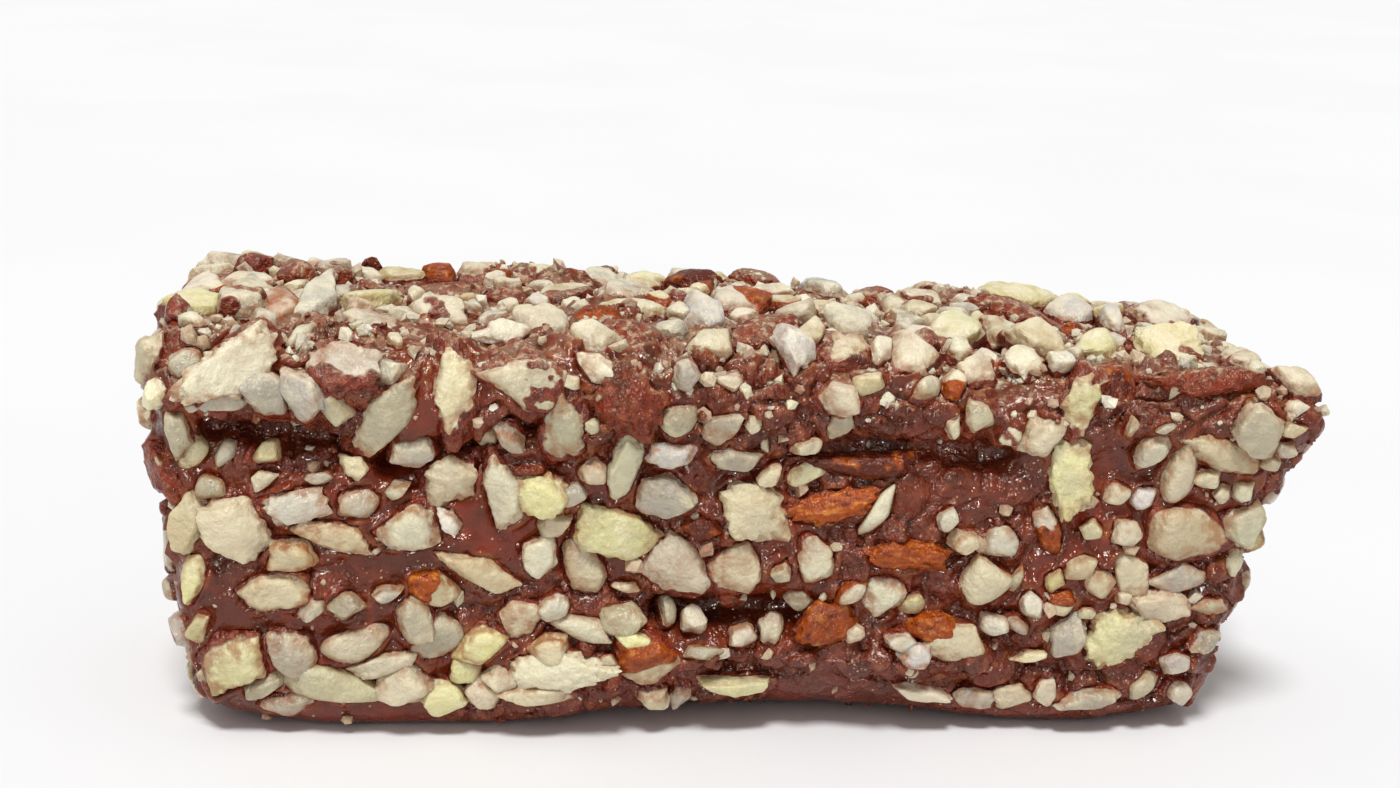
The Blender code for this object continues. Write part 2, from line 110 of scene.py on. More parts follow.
# Almonds on the front: x and z of the middle, length, width, turn in degrees, look
FRONT_ALMONDS = (
    (-18.9, 15.5, 3.6, 1.9, 25, "bright rough"),
    (-15.1, 15.4, 2.9, 2.1, -8, "cream torn smeared_low"),
    (-17.8, 13.9, 1.9, 1.5, -40, "grey"),
    (-16.6, 13.9, 2.0, 1.3, -50, "grey"),
    (-19.4, 13.3, 2.0, 1.0, -3, "grey oval"),
    (-13.5, 13.0, 3.6, 1.6, 60, "grey"),
    (-16.9, 9.8, 2.5, 1.4, 0, "white torn"),
    (-14.3, 9.9, 1.8, 1.6, 0, "grey"),
    (-12.6, 9.0, 2.4, 1.5, 30, "white"),
    (-19.3, 8.6, 3.0, 1.9, -35, "cream"),
    (-17.2, 7.6, 1.7, 1.1, 25, "beige"),
    (-15.6, 8.5, 3.0, 1.2, -20, "beige"),
    (-17.9, 6.0, 3.3, 1.7, 12, "cream rimmed"),
    (-19.5, 3.1, 2.8, 2.3, 0, "yellow"),
    (-17.1, 3.5, 2.1, 1.6, -20, "grey"),
    (-14.6, 3.7, 2.8, 1.4, 25, "cream oval"),
    (-13.5, 3.0, 2.7, 0.8, 14, "cream"),
    (-15.7, 2.1, 3.1, 1.5, -10, "white oval"),
    (-12.9, 2.1, 2.2, 1.6, 10, "cream"),
    (-12.3, 5.0, 2.0, 1.4, -60, "grey"),
    (-11.7, 6.2, 1.9, 1.4, -25, "skin_left oval"),
    (-10.9, 14.6, 3.9, 1.9, 92, "bright rough"),
    (-11.1, 10.7, 2.0, 1.9, 0, "cream torn"),
    (-9.0, 10.2, 3.0, 1.4, -75, "white"),
    (-7.5, 10.1, 2.0, 1.8, 0, "yellow torn"),
    (-7.0, 12.4, 2.9, 2.1, 70, "white"),
    (-7.8, 14.9, 2.9, 2.4, 0, "cream smeared"),
    (-5.6, 16.0, 2.2, 1.1, -30, "bright"),
    (-4.6, 14.3, 2.6, 2.4, 0, "coated torn"),
    (-4.4, 10.9, 2.9, 1.2, 80, "white"),
    (-2.7, 11.7, 1.9, 1.0, 5, "white torn"),
    (-2.8, 10.0, 2.4, 1.8, -10, "grey"),
    (-4.6, 8.6, 3.0, 2.1, -8, "yellow"),
    (-5.8, 7.2, 2.6, 1.8, -70, "beige"),
    (-7.4, 7.6, 1.6, 1.3, 60, "white"),
    (-9.6, 6.9, 3.2, 1.1, -28, "beige"),
    (-2.3, 6.5, 2.6, 2.4, 0, "cream"),
    (-8.3, 5.0, 2.1, 1.7, -20, "beige"),
    (-5.8, 4.8, 2.3, 0.9, -18, "white"),
    (-4.4, 5.2, 1.8, 1.1, 0, "grey"),
    (-9.7, 4.0, 2.1, 1.2, 38, "yellow oval"),
    (-11.4, 4.1, 2.0, 1.6, 45, "grey"),
    (-7.1, 3.0, 4.0, 1.5, 0, "bright torn"),
    (-3.5, 3.1, 2.4, 1.9, 20, "skin_top"),
    (0.1, 6.6, 2.5, 2.3, 0, "beige"),
    (0.7, 9.7, 2.6, 2.3, -10, "cream torn"),
    (0.0, 11.4, 1.9, 0.9, 0, "grey"),
    (-0.8, 12.8, 1.7, 1.3, 30, "grey"),
    (3.7, 14.4, 1.5, 1.4, 0, "cream"),
    (2.6, 10.8, 1.7, 1.0, 22, "yellow oval"),
    (3.7, 9.9, 3.1, 1.4, 8, "skin torn"),
    (5.6, 9.7, 1.6, 0.8, 70, "white oval"),
    (3.1, 7.6, 2.2, 1.6, -75, "white"),
    (3.6, 5.3, 2.5, 1.7, 15, "skin torn"),
    (6.0, 5.9, 1.8, 1.6, 0, "white"),
    (7.0, 7.7, 3.2, 1.2, -3, "skin torn"),
    (9.8, 6.5, 2.0, 1.9, 0, "cream oval"),
    (8.9, 4.4, 2.4, 1.5, 20, "cream"),
    (8.2, 5.1, 2.0, 1.1, 0, "skin torn"),
    (4.8, 11.7, 4.3, 0.9, -2, "redskin"),
    (10.6, 8.3, 1.4, 1.4, 0, "white oval"),
    (13.3, 14.1, 2.7, 1.6, 85, "yellow torn"),
    (11.8, 12.5, 1.5, 1.2, 40, "cream torn"),
    (12.9, 11.2, 2.9, 1.8, -80, "yellow torn"),
    (16.2, 11.7, 1.7, 0.9, 50, "grey"),
    (17.4, 11.1, 2.6, 1.4, 80, "cream oval"),
    (19.4, 11.7, 2.9, 1.3, -28, "beige"),
    (20.2, 13.0, 2.4, 1.9, -60, "grey"),
    (18.0, 8.6, 3.3, 2.5, 0, "beige oval"),
    (20.8, 8.8, 1.7, 1.6, 0, "white"),
    (16.0, 7.0, 2.1, 1.3, -60, "cream"),
    (14.8, 6.7, 1.4, 1.3, 0, "cream oval"),
    (18.2, 6.6, 2.1, 1.1, 10, "grey"),
    (17.5, 5.4, 2.7, 1.2, -5, "beige"),
    (19.8, 5.3, 1.5, 0.8, 0, "grey"),
    (15.6, 4.2, 2.8, 2.4, 50, "yellow torn"),
    (13.6, 4.2, 1.4, 1.3, 45, "grey"),
    (12.3, 9.0, 2.2, 1.0, -70, "skin_right"),
    (14.7, 16.9, 2.1, 2.0, 0, "redskin oval"),
    (18.2, 16.4, 3.7, 1.1, 3, "coated torn"),
)
# Almonds on the top: x and y of the middle, length, width, turn in degrees, look
TOP_ALMONDS = (
    (-21.1, -2.2, 2.3, 2.0, 172, "yellow"),
    (-19.2, -2.9, 1.9, 1.6, -25, "cream"),
    (-17.7, -2.9, 2.8, 2.0, 80, "caramel oval"),
    (-16.2, -2.3, 2.7, 1.4, 80, "white"),
    (-14.0, -3.9, 2.6, 1.4, -18, "white"),
    (-11.6, -2.6, 2.2, 1.9, 0, "cream torn"),
    (-11.9, 3.1, 4.2, 2.0, -5, "coated lump"),
    (-17.5, 2.9, 2.0, 1.6, -20, "coated lump"),
    (-7.3, 4.6, 3.1, 1.8, 5, "cream smeared_low"),
    (-8.9, 0.9, 2.0, 1.4, 0, "coated lump"),
    (-6.5, 1.0, 2.1, 1.4, 15, "beige smeared_low"),
    (-7.6, -4.0, 2.4, 1.9, -25, "cream"),
    (-3.0, 4.9, 2.2, 2.0, 0, "yellow"),
    (-1.1, 3.3, 2.1, 1.5, -20, "redskin"),
    (-4.0, -1.7, 2.9, 1.2, -3, "cream"),
    (-5.7, -3.2, 2.4, 1.4, 5, "skin"),
    (-3.9, -5.5, 2.4, 2.1, 0, "coated lump"),
    (-5.6, -5.9, 2.1, 1.5, -30, "bright"),
    (-0.9, -2.4, 1.9, 1.6, 110, "white"),
    (2.0, 4.5, 2.7, 1.6, 0, "coated lump"),
    (0.9, -4.6, 3.2, 1.9, 22, "coated lump"),
    (2.0, -7.3, 1.9, 1.3, 100, "white torn"),
    (6.9, 5.0, 2.2, 1.9, 0, "coated lump"),
    (5.0, -1.9, 2.3, 2.1, -12, "white torn"),
    (13.5, 4.5, 3.5, 1.3, 0, "yellow dull"),
    (12.8, 1.4, 4.1, 2.1, -18, "coated lump"),
    (9.3, -2.3, 2.3, 1.9, 20, "yellow"),
    (7.1, -6.2, 2.2, 2.0, -10, "cream oval"),
    (9.6, -7.2, 1.9, 1.6, 60, "beige torn"),
    (12.3, -3.2, 2.3, 1.6, -33, "beige"),
    (11.3, -1.1, 2.3, 1.5, -60, "cream"),
    (15.4, 3.2, 2.2, 1.9, 0, "white oval"),
    (4.0, -6.3, 2.4, 2.0, 0, "cream"),
    (19.2, 1.8, 3.0, 2.6, 70, "cream"),
    (-22.7, -0.5, 2.3, 1.8, 60, "white"),
    (-22.5, 2.4, 2.0, 1.6, 20, "cream"),
    (17.1, -3.9, 2.9, 2.4, 20, "cream torn"),
    (14.7, -3.4, 1.8, 1.5, 25, "yellow"),
)
# Smaller almonds of the front and the top, which the solid leaves out
SMALL_FRONT_ALMONDS = (
    (-21.0, 15.5, 1.4, 1.1, 30, "grey"),
    (-13.3, 15.6, 0.9, 0.8, 0, "grey"),
    (-15.4, 13.1, 1.5, 0.8, -40, "grey"),
    (-15.0, 11.6, 1.0, 1.0, 0, "cream torn"),
    (-12.3, 11.7, 1.7, 1.1, 10, "grey"),
    (-21.5, 12.5, 1.6, 0.8, -70, "grey"),
    (-20.6, 13.4, 0.6, 0.4, 0, "grey"),
    (-18.3, 10.7, 0.8, 0.7, 0, "grey"),
    (-16.0, 11.2, 1.0, 0.5, 0, "grey"),
    (-13.1, 10.5, 0.8, 0.6, 40, "grey"),
    (-16.3, 5.4, 1.1, 0.5, 40, "grey"),
    (-21.6, 8.8, 2.2, 1.1, 80, "beige"),
    (-21.5, 6.6, 2.2, 0.9, 85, "yellow"),
    (-21.3, 4.4, 1.4, 0.7, 80, "yellow"),
    (-18.2, 1.9, 1.7, 0.9, 25, "grey"),
    (-17.4, 1.3, 2.1, 0.9, 5, "grey"),
    (-13.4, 6.1, 1.1, 0.5, 15, "grey"),
    (-6.5, 14.6, 0.7, 0.6, 0, "cream"),
    (-5.7, 13.2, 0.7, 0.6, 0, "cream"),
    (-5.6, 10.9, 1.0, 0.9, 0, "beige"),
    (-6.2, 9.9, 0.9, 0.8, 0, "grey"),
    (-6.9, 5.6, 1.3, 1.0, 20, "white"),
    (-3.9, 4.4, 1.2, 0.7, 0, "yellow"),
    (-4.3, 6.5, 1.2, 0.4, -5, "white"),
    (-10.5, 2.8, 1.4, 1.2, 0, "yellow"),
    (-7.2, 3.9, 1.4, 1.1, 0, "beige"),
    (-9.1, 2.4, 1.4, 1.0, 0, "beige"),
    (-11.3, 1.5, 1.7, 1.3, 0, "yellow"),
    (-9.8, 1.7, 1.6, 1.2, 0, "beige"),
    (-7.6, 1.5, 2.5, 0.8, 0, "cream"),
    (-4.8, 3.4, 0.6, 0.6, 0, "beige"),
    (1.0, 8.7, 1.1, 0.9, 0, "cream oval"),
    (0.5, 13.0, 0.6, 0.7, 0, "cream torn"),
    (3.9, 12.9, 1.3, 1.0, 80, "grey"),
    (6.9, 4.5, 1.3, 0.8, 0, "white"),
    (7.5, 3.9, 1.2, 1.0, 0, "white"),
    (4.9, 4.9, 0.8, 0.7, 0, "cream"),
    (1.9, 6.4, 0.8, 0.7, 0, "grey"),
    (-1.4, 8.8, 1.2, 0.8, 0, "redskin"),
    (9.3, 13.9, 1.2, 1.0, 90, "grey"),
    (8.3, 12.5, 0.8, 0.6, 90, "cream torn"),
    (-1.0, 4.3, 1.5, 0.5, 0, "grey"),
    (0.5, 1.9, 3.0, 0.5, 0, "yellow"),
    (8.0, 1.4, 2.2, 0.6, -12, "cream"),
    (11.4, 1.3, 2.0, 1.0, 10, "beige"),
    (10.0, 1.3, 1.8, 0.9, 0, "grey"),
    (16.2, 10.2, 1.1, 1.1, 0, "white"),
    (15.1, 10.4, 1.0, 0.9, 0, "cream oval"),
    (21.6, 13.3, 0.8, 0.6, 0, "grey"),
    (21.6, 12.1, 0.9, 0.6, 0, "grey"),
    (21.3, 11.3, 0.8, 0.6, 0, "beige"),
    (18.6, 11.0, 1.1, 0.9, 0, "cream"),
    (19.3, 10.3, 0.7, 0.6, 0, "cream"),
    (20.1, 10.4, 0.9, 0.8, 0, "white"),
    (15.6, 8.9, 1.2, 1.1, 0, "white"),
    (14.1, 8.9, 0.9, 0.7, 0, "grey"),
    (15.8, 5.9, 0.7, 0.6, 0, "beige"),
    (13.2, 5.7, 1.2, 1.0, 0, "skin_top"),
    (14.2, 5.3, 0.7, 0.5, 0, "grey"),
    (12.2, 3.5, 1.4, 0.5, 10, "cream torn"),
    (18.3, 3.1, 1.3, 0.8, 0, "grey"),
    (14.9, 1.3, 2.1, 0.8, 10, "grey"),
    (11.2, 6.7, 1.1, 0.5, 70, "grey"),
    (15.2, 13.4, 0.8, 0.4, 80, "grey"),
    (16.6, 13.3, 0.8, 0.3, 20, "grey"),
    (-2.2, 15.4, 1.1, 0.9, 90, "grey"),
    (4.8, 15.0, 1.4, 0.8, 10, "beige"),
)
SMALL_TOP_ALMONDS = (
    (-21.6, 4.1, 1.5, 1.0, 10, "white"),
    (-19.5, 1.8, 2.3, 1.0, 2, "cream"),
    (-19.3, 4.4, 1.5, 1.1, 0, "beige smeared_low"),
    (-15.2, 0.2, 1.6, 1.4, 40, "grey"),
    (-14.1, 0.2, 0.9, 0.8, 90, "cream"),
    (-12.6, 0.3, 1.0, 0.7, 80, "cream"),
    (-13.3, 4.9, 1.8, 1.2, 0, "yellow dull"),
    (-11.7, 5.2, 1.1, 0.9, 0, "skin"),
    (-10.4, 5.2, 1.1, 0.9, 0, "beige"),
    (-15.9, 3.3, 1.1, 1.0, 0, "coated"),
    (-15.9, 5.1, 1.5, 0.9, 0, "beige"),
    (-22.0, -3.4, 1.2, 0.9, 60, "grey"),
    (-7.7, -1.5, 1.1, 0.9, -20, "white"),
    (-9.0, -5.4, 1.7, 1.1, 5, "bright torn"),
    (-4.9, 4.1, 1.7, 1.2, -20, "white"),
    (-0.1, 4.6, 1.4, 1.0, 0, "yellow"),
    (-2.0, -2.1, 1.1, 0.9, 0, "white torn"),
    (0.5, -1.9, 1.1, 0.9, 0, "cream"),
    (0.1, 0.6, 1.3, 1.0, 0, "white"),
    (2.2, 1.9, 2.2, 0.9, 0, "white"),
    (2.6, -2.3, 1.8, 1.0, 22, "beige"),
    (-1.1, -6.8, 1.4, 1.2, 0, "cream"),
    (2.8, -5.8, 1.6, 0.9, 60, "beige"),
    (4.9, 4.5, 2.0, 0.9, 0, "white"),
    (8.6, 3.0, 1.9, 1.0, 0, "beige"),
    (8.2, 1.1, 1.3, 1.0, 0, "cream"),
    (7.7, -1.4, 1.3, 0.9, 0, "grey"),
    (7.6, -3.6, 1.6, 1.2, 10, "cream"),
    (8.9, -5.2, 1.0, 0.9, 90, "white"),
    (11.3, -5.8, 1.7, 1.4, -30, "bright torn"),
    (12.6, -6.1, 1.0, 0.9, 0, "white torn"),
    (16.4, 1.1, 1.8, 0.8, 90, "white"),
    (5.7, -6.2, 1.4, 0.9, 80, "white"),
    (21.4, 2.6, 0.9, 0.7, 90, "grey"),
    (21.4, -0.6, 1.2, 0.9, 0, "grey"),
    (21.4, -4.4, 1.4, 1.1, 0, "cream"),
    (23.0, -5.5, 1.7, 1.2, -20, "beige"),
)

# Every almond: a block trimmed by knife cuts round its sides and two across its top, which meet in a ridge
ALMOND_SEED = 7
THICKNESS_SHARE = 0.85
THICKNESS_LEAST = 1.0
THICKNESS_MOST = 2.1
PROUD_LEAST = 0.4
PROUD_MOST = 1.0
PROUD_SHARE = 0.75
SIDE_CUTS = 5
SIDE_CUT_JITTER = 0.33
SIDE_CUT_NEAREST = 0.85
SIDE_CUT_FARTHEST = 1.1
SIDE_CUT_SLOPE = 0.45
TOP_CUT_SLOPES = (0.05, 0.36)
TOP_CUT_NEAREST = 0.85
TILT = 11.0
TOP_LEAN = 1.5
TOP_LIFT = 0.3
FLOOR_GAP = 0.25
UNDERSIDE_NORMAL = -0.7

# The almonds scattered over the top, the ends and the back, as the solid has them
SCATTER = {"seed": 11, "draws": 6000, "count": 88, "lengths": (1.6, 3.0), "apart": 0.56}
SCATTER_SLIMNESS = (0.5, 0.85)
SCATTER_LOWEST = 1.3
SCATTER_FARTHEST = 22.6
FRONT_NORMAL = -0.55
SCATTER_LOOKS = (
    "cream", "cream torn", "white", "grey", "yellow dull", "beige", "bright torn", "grey oval", "white torn",
    "beige torn", "cream rimmed", "skin_left", "grey", "cream smeared", "white", "beige", "grey torn",
    "coated torn", "white smeared_low",
)
LOOK_STEP = 7

# The smaller almonds scattered over all faces, and the first number of each kind of smaller almond
FINE_SCATTER = {"seed": 23, "draws": 9000, "count": 400, "lengths": (0.5, 1.35), "apart": 0.42}
FINE_LOWEST = 1.6
FINE_FIRST_NUMBER = 2000
SMALL_FIRST_NUMBER = 1000
# Where the front shows plain chocolate: x, z and half of each reach
BARE_ZONES = (
    (-12.5, 7.5, 3.5, 1.6),
    (5.5, 3.0, 6.0, 1.7),
    (3.5, 13.6, 4.5, 1.2),
    (9.5, 10.9, 2.6, 1.8),
    (-17.5, 12.3, 3.0, 0.7),
)

# How finely the almonds are drawn: the steps of halving of the ball that each is made from
FINEST = 5
FINER = 4
FINE = 3
CRUMB = 1
FINEST_LENGTH = 2.65
# How an almond's block is rounded, chipped, waved and torn
SHARPNESS = {"plain": 14.0, "rough": 10.0, "torn": 14.0, "oval": 6.0, "lump": 5.0}
FACET_ANGLE = 30.0
CHIPS = 3
CHIP_DEPTH = (0.84, 0.96)
WAVE_PITCH = 0.9
WAVE_DEPTH = 0.07
WAVE_WIDEST = 1.5
TEAR_PITCH = 0.34
TEAR_DEPTH = {"plain": 0.11, "rough": 0.16, "torn": 0.22, "oval": 0.03, "lump": 0.14}
TEAR_ON_TOP = 0.3
FINE_TEAR = 0.4
FINE_TEAR_PITCH = 0.45

# What an almond's flesh looks like
FLESH_UNDER = {"skin": "cream", "redskin": "cream", "coated": "beige"}
TONE_SPREAD = 0.07
WARMTH_SPREAD = 0.09
PATCH_SHARE = 0.5
PATCH_PITCH = 1.3
DULL = (0.86, 0.84, 0.78)
# How much of the height that stands proud the chocolate has smeared, and how it stains above that
SMEAR_SHARE = (0.1, 0.65)
SMEAR_THIN = 0.3
SMEAR_UNEVEN = 0.18
STAIN_REACH = 0.2
STAIN_UNEVEN = 0.15
RIM_STAIN = (0.0, 1.3)
PATCHY_MOST = 0.5
PATCHY_PITCH = 1.4
SMEARED_SHARE = 0.25
SMEARED_PITCH = 1.1
# Which sides of an almond still have skin, how dark the skin is and the run of its fibres
SKIN_SIDES = {"skin_left": (-1, 0, 0), "skin_right": (1, 0, 0), "skin_top": (0, 1, 0)}
SKIN_DARKEST = 0.6
REDSKIN_DARK = 1.7
FIBRE_STRETCH = (0.4, 1.0, 1.0)
FIBRE_PITCH = 0.15
# The pieces of almonds, and the tones that each holds
GROUPS = {
    "almond_ivory": ("cream",),
    "almond_yellow": ("yellow", "bright"),
    "almond_beige": ("beige", "caramel"),
    "almond_white": ("white",),
    "almond_grey": ("grey",),
    "almond_skins": ("skin", "skin_left", "skin_right", "skin_top", "redskin"),
    "chocolate_lumps": ("coated",),
}

# The chocolate between the almonds, in more cells from these places of y on the front and on the top
COAT_FINENESS = 5
FINE_FROM = (-DEPTH / 2 + 1.4, -2.4)
FLOOR_SKIN = 0.05
LIFT_FREE = 1.2
EAR_SMOOTH = (21.8, 23.6)
CRUMBLE_PITCH = 4.5
# Where the front is more or less broken: x, z, half of each reach, how much more
FRONT_ZONES = (
    (6.0, 12.0, 6.0, 2.6, 1.0),
    (1.0, 13.5, 3.0, 2.0, 0.8),
    (17.0, 14.0, 4.0, 1.5, 0.7),
    (-10.0, 8.0, 4.5, 2.0, -1.0),
    (10.0, 3.5, 8.0, 1.8, 0.3),
    (-3.0, 12.8, 4.0, 1.5, 0.4),
    (-17.5, 12.0, 3.0, 1.4, 1.0),
    (-8.0, 12.0, 3.0, 1.2, 0.6),
    (3.0, 3.4, 7.0, 1.6, 0.6),
    (15.0, 1.8, 8.0, 1.6, 0.8),
)
# Relief of the coat, each as height and pitch
ROUGHNESS = (0.12, 1.6)
RIPPLE = (0.1, 0.6)
TOP_MOUNDS = (0.7, 2.8)
PLATES = (0.55, 1.7)
LUMPS = (0.25, 0.8)
FINE_LUMPS = (0.16, 0.36)
LUMP_LEVEL = 0.6
# The tilts of the plates are drawn by this seed, and without one they would follow the clock
PLATE_SEED = 5
PLATE_TILT = 1.6
PLATE_TURN = 7.3
PLATE_SEAM = 0.1
PLATE_SEAM_DEPTH = 0.7
CREASE_WANDER = 0.35
CREASE_WANDER_PITCH = 1.1
GROOVE_HALF = 0.32
GROOVE_SHARE = 0.9
# How the chocolate climbs a wet almond or draws back from a dry one
WET_REACH = 0.2
WET_RISE = 0.3
WET_PITCH = 1.3
WET_FULL_HALF = 0.7
WET_SEARCH = 3
LENGTH_SEARCH = 1.2
MIDDLE_GAUGE = 0.05
DRY_GROOVE = 0.15
# Under an almond that shows its flesh the chocolate stays low
COVERED = {"coated", "smeared", "smeared_low"}
UNDER_SHARE = 0.92
UNDER_HEIGHT = 1.8
UNDER_DEPTH = 0.2

# The crumbs on the coat: seed, smallest and largest size, how jagged
ALMOND_CRUMBS = (31, (0.12, 0.8), 0.42)
CHOCOLATE_CRUMBS = (37, (0.12, 0.5), 0.35)
CRUMB_SKEW = 2.5
CRUMB_STRETCH = (0.6, 1.15)
CRUMB_LIFT = 0.15
CRUMB_FACET_ANGLE = 20.0
CRUMB_TONES = ("cream", "bright", "bright", "meal_and_sheen", "beige", "white")
CRUMB_BROWN = 0.75
CLUSTER_PITCH = 2.4
CLUSTER_LEAST = 0.1
SIDE_CRUMBS = 0.12
TOP_CRUMBS = 2.0
# Pale almond dust and meal, partly painted light on the top, lie between these levels and above, on what
# faces up by more than the first of the shares
TOP_LEVELS = (13.0, 15.0)
TOP_FACING = (0.3, 0.9)

# The finishes of the almonds: how much light goes in, the least roughness and the tint of the gloss
WHITE = (1.0, 1.0, 1.0, 1.0)
BROWN_GLOSS = (1.0, 0.8, 0.68, 1.0)
PLAIN_FLESH = (0.4, 0.32, WHITE)
MOIST_FLESH = (0.6, 0.24, WHITE)
FLESH = {
    "almond_white": MOIST_FLESH,
    "almond_grey": MOIST_FLESH,
    "almond_skins": (0.3, 0.26, BROWN_GLOSS),
    "chocolate_lumps": (0.1, 0.26, BROWN_GLOSS),
}
# How deep light goes in, how far each of its colours bleeds, and the height of the finest relief
FLESH_DEPTH = 0.5
FLESH_BLEED = (1.0, 0.85, 0.55)
FLESH_RELIEF = 0.16
CHOCOLATE_DEPTH = 0.3
CHOCOLATE_RELIEF = 0.26
FLOOR_PATCH = 40.0
FLOOR_SHADE = 0.985

# The stage: turns are in degrees, the camera's as yaw, pitch and roll
KEY_SPREAD = 14.0
KEY_TURN = (23.0, 0.0, -12.0)
GLINT_SPREAD = 5.0
GLINT_TURN = (66.0, 0.0, -16.0)
CAMERA_TURN = (6.0, 15.8, 2.2)
CAMERA_TARGET = (-1.6, -6.9, 14.3)
CAMERA_DISTANCE = 83.3
CAMERA_NEAREST = 1.0


def pigment(code):
    """The linear colour of a hexadecimal one."""
    shares = [int(code[place:place + 2], 16) / 255 for place in (1, 3, 5)]
    return tuple(s / 12.92 if s <= 0.04045 else ((s + 0.055) / 1.055) ** 2.4 for s in shares)


# ---------------------------------------------------------------- form of the bar


def smooth_step(low, high, value):
    """0 at low, 1 at high and smooth between."""
    share = min(max((value - low) / (high - low), 0.0), 1.0)
    return share * share * (3 - 2 * share)


def hump(value):
    """1 at the middle of a stretch from -1 to 1, and 0 outside it."""
    return (1 - value * value) ** 2 if abs(value) < 1 else 0.0


def stations(low, high):
    """Where the block is cut across one axis: a finer cell in each rounded edge, even ones between."""
    first = low + EDGE_RADIUS
    last = high - EDGE_RADIUS
    cells = max(1, round((last - first) / CELL))
    even = [first + (last - first) * i / cells for i in range(cells + 1)]
    return [low + EDGE_RADIUS * EDGE_CUT, *even, high - EDGE_RADIUS * EDGE_CUT]


def crease_depth(x, z):
    """How far the nearest creases draw the front in at x, z."""
    deepest = 0.0
    for x_from, z_from, x_to, z_to, depth in CREASES:
        run = Vector((x_to - x_from, z_to - z_from))
        away = Vector((x - x_from, z - z_from))
        share = min(max(away.dot(run) / run.length_squared, 0.0), 1.0)
        distance = (away - run * share).length
        deepest = max(deepest, depth * math.exp(-((distance / CREASE_HALF) ** 2)))
    return deepest


def front_relief(x, z):
    """How far the front stands out at x, z: the lap of the top coat, its creases, the ridge at its foot."""
    out = LAP_OUT * smooth_step(LAP_LEVEL - LAP_BLEND, LAP_LEVEL + LAP_BLEND, z) - LAP_OUT / 2
    along_ridge = smooth_step(RIDGE_FROM - RIDGE_BLEND, RIDGE_FROM + RIDGE_BLEND, x)
    along_ridge *= smooth_step(RIDGE_TO + RIDGE_BLEND, RIDGE_TO - RIDGE_BLEND, x)
    out += RIDGE_OUT * along_ridge * math.exp(-(((z - RIDGE_LEVEL) / RIDGE_HALF) ** 2))
    return out - crease_depth(x, z)


def shaped(point):
    """The place on the dipped bar of a point on the plain block."""
    inner = Vector((LENGTH / 2 - EDGE_RADIUS, DEPTH / 2 - EDGE_RADIUS, HEIGHT_LEFT / 2 - EDGE_RADIUS))
    local = point - Vector((0, 0, HEIGHT_LEFT / 2))
    nearest = Vector([min(max(value, -limit), limit) for value, limit in zip(local, inner)])
    normal = (local - nearest).normalized()
    x, y, z = nearest + normal * EDGE_RADIUS
    z += HEIGHT_LEFT / 2
    up = z / HEIGHT_LEFT
    along = x / LENGTH + 0.5
    z *= 1 + (HEIGHT_RIGHT / HEIGHT_LEFT - 1) * along
    lean = LEAN_LEFT if x < 0 else LEAN_RIGHT
    outer = abs(2 * along - 1)
    x *= 1 - 2 * lean / LENGTH * max(1 - up, 0.0) ** LEAN_CURVE * outer
    z += sum(rise * hump((x - centre) / half) for centre, half, rise in CROWNS) * up
    facing_front = max(-normal.y, 0.0)
    y -= front_relief(x, z) * facing_front
    lump = LUMP * noise.noise(Vector((x, y, z)) / LUMP_PITCH) * smooth_step(0.0, LUMP_FREE, up)
    x, y, z = Vector((x, y, z)) + normal * lump
    ear = hump((z - EAR_LEVEL) / (EAR_ABOVE if z > EAR_LEVEL else EAR_BELOW))
    x += EAR_OUT * ear * smooth_step(LENGTH / 2 - EAR_REACH, LENGTH / 2, x) * facing_front
    under_front = smooth_step(ARCH_REACH - DEPTH / 2, -DEPTH / 2, y)
    rise = ARCH_RISE * hump((x - ARCH_CENTRE) / ARCH_HALF) + END_RISE * smooth_step(*END_SHARES, outer)
    z += rise * under_front * (1 - smooth_step(0.0, ARCH_FADE, up))
    return Vector((x, y, z))


def block_cage():
    """The plain block, cut into cells."""
    cage = bmesh.new()
    bmesh.ops.create_cube(cage, size=1)
    for vertex in cage.verts:
        vertex.co = Vector((vertex.co.x * LENGTH, vertex.co.y * DEPTH, (vertex.co.z + 0.5) * HEIGHT_LEFT))
    spans = ((-LENGTH / 2, LENGTH / 2), (-DEPTH / 2, DEPTH / 2), (0, HEIGHT_LEFT))
    for axis, (low, high) in enumerate(spans):
        across = Vector([float(axis == other) for other in range(3)])
        for station in stations(low, high):
            everything = cage.verts[:] + cage.edges[:] + cage.faces[:]
            bmesh.ops.bisect_plane(cage, geom=everything, plane_co=across * station, plane_no=across)
    return cage


def bar_mesh():
    """The dipped bar in few faces, on which the almonds are laid out."""
    cage = block_cage()
    for vertex in cage.verts:
        vertex.co = shaped(vertex.co)
    bmesh.ops.triangulate(cage, faces=cage.faces)
    bmesh.ops.recalc_face_normals(cage, faces=cage.faces)
    return cage


# ---------------------------------------------------------------- layout of the almonds


def waves(points, pitch, shift=0.0):
    """A smooth unevenness between about -1 and 1 at each point, pitch from one wave to the next."""
    return np.array([noise.noise(point) for point in (points / pitch + shift).tolist()])


def ramp(low, high, values):
    """0 at low, 1 at high and smooth between, for an array."""
    share = np.clip((values - low) / (high - low), 0, 1)
    return share * share * (3 - 2 * share)


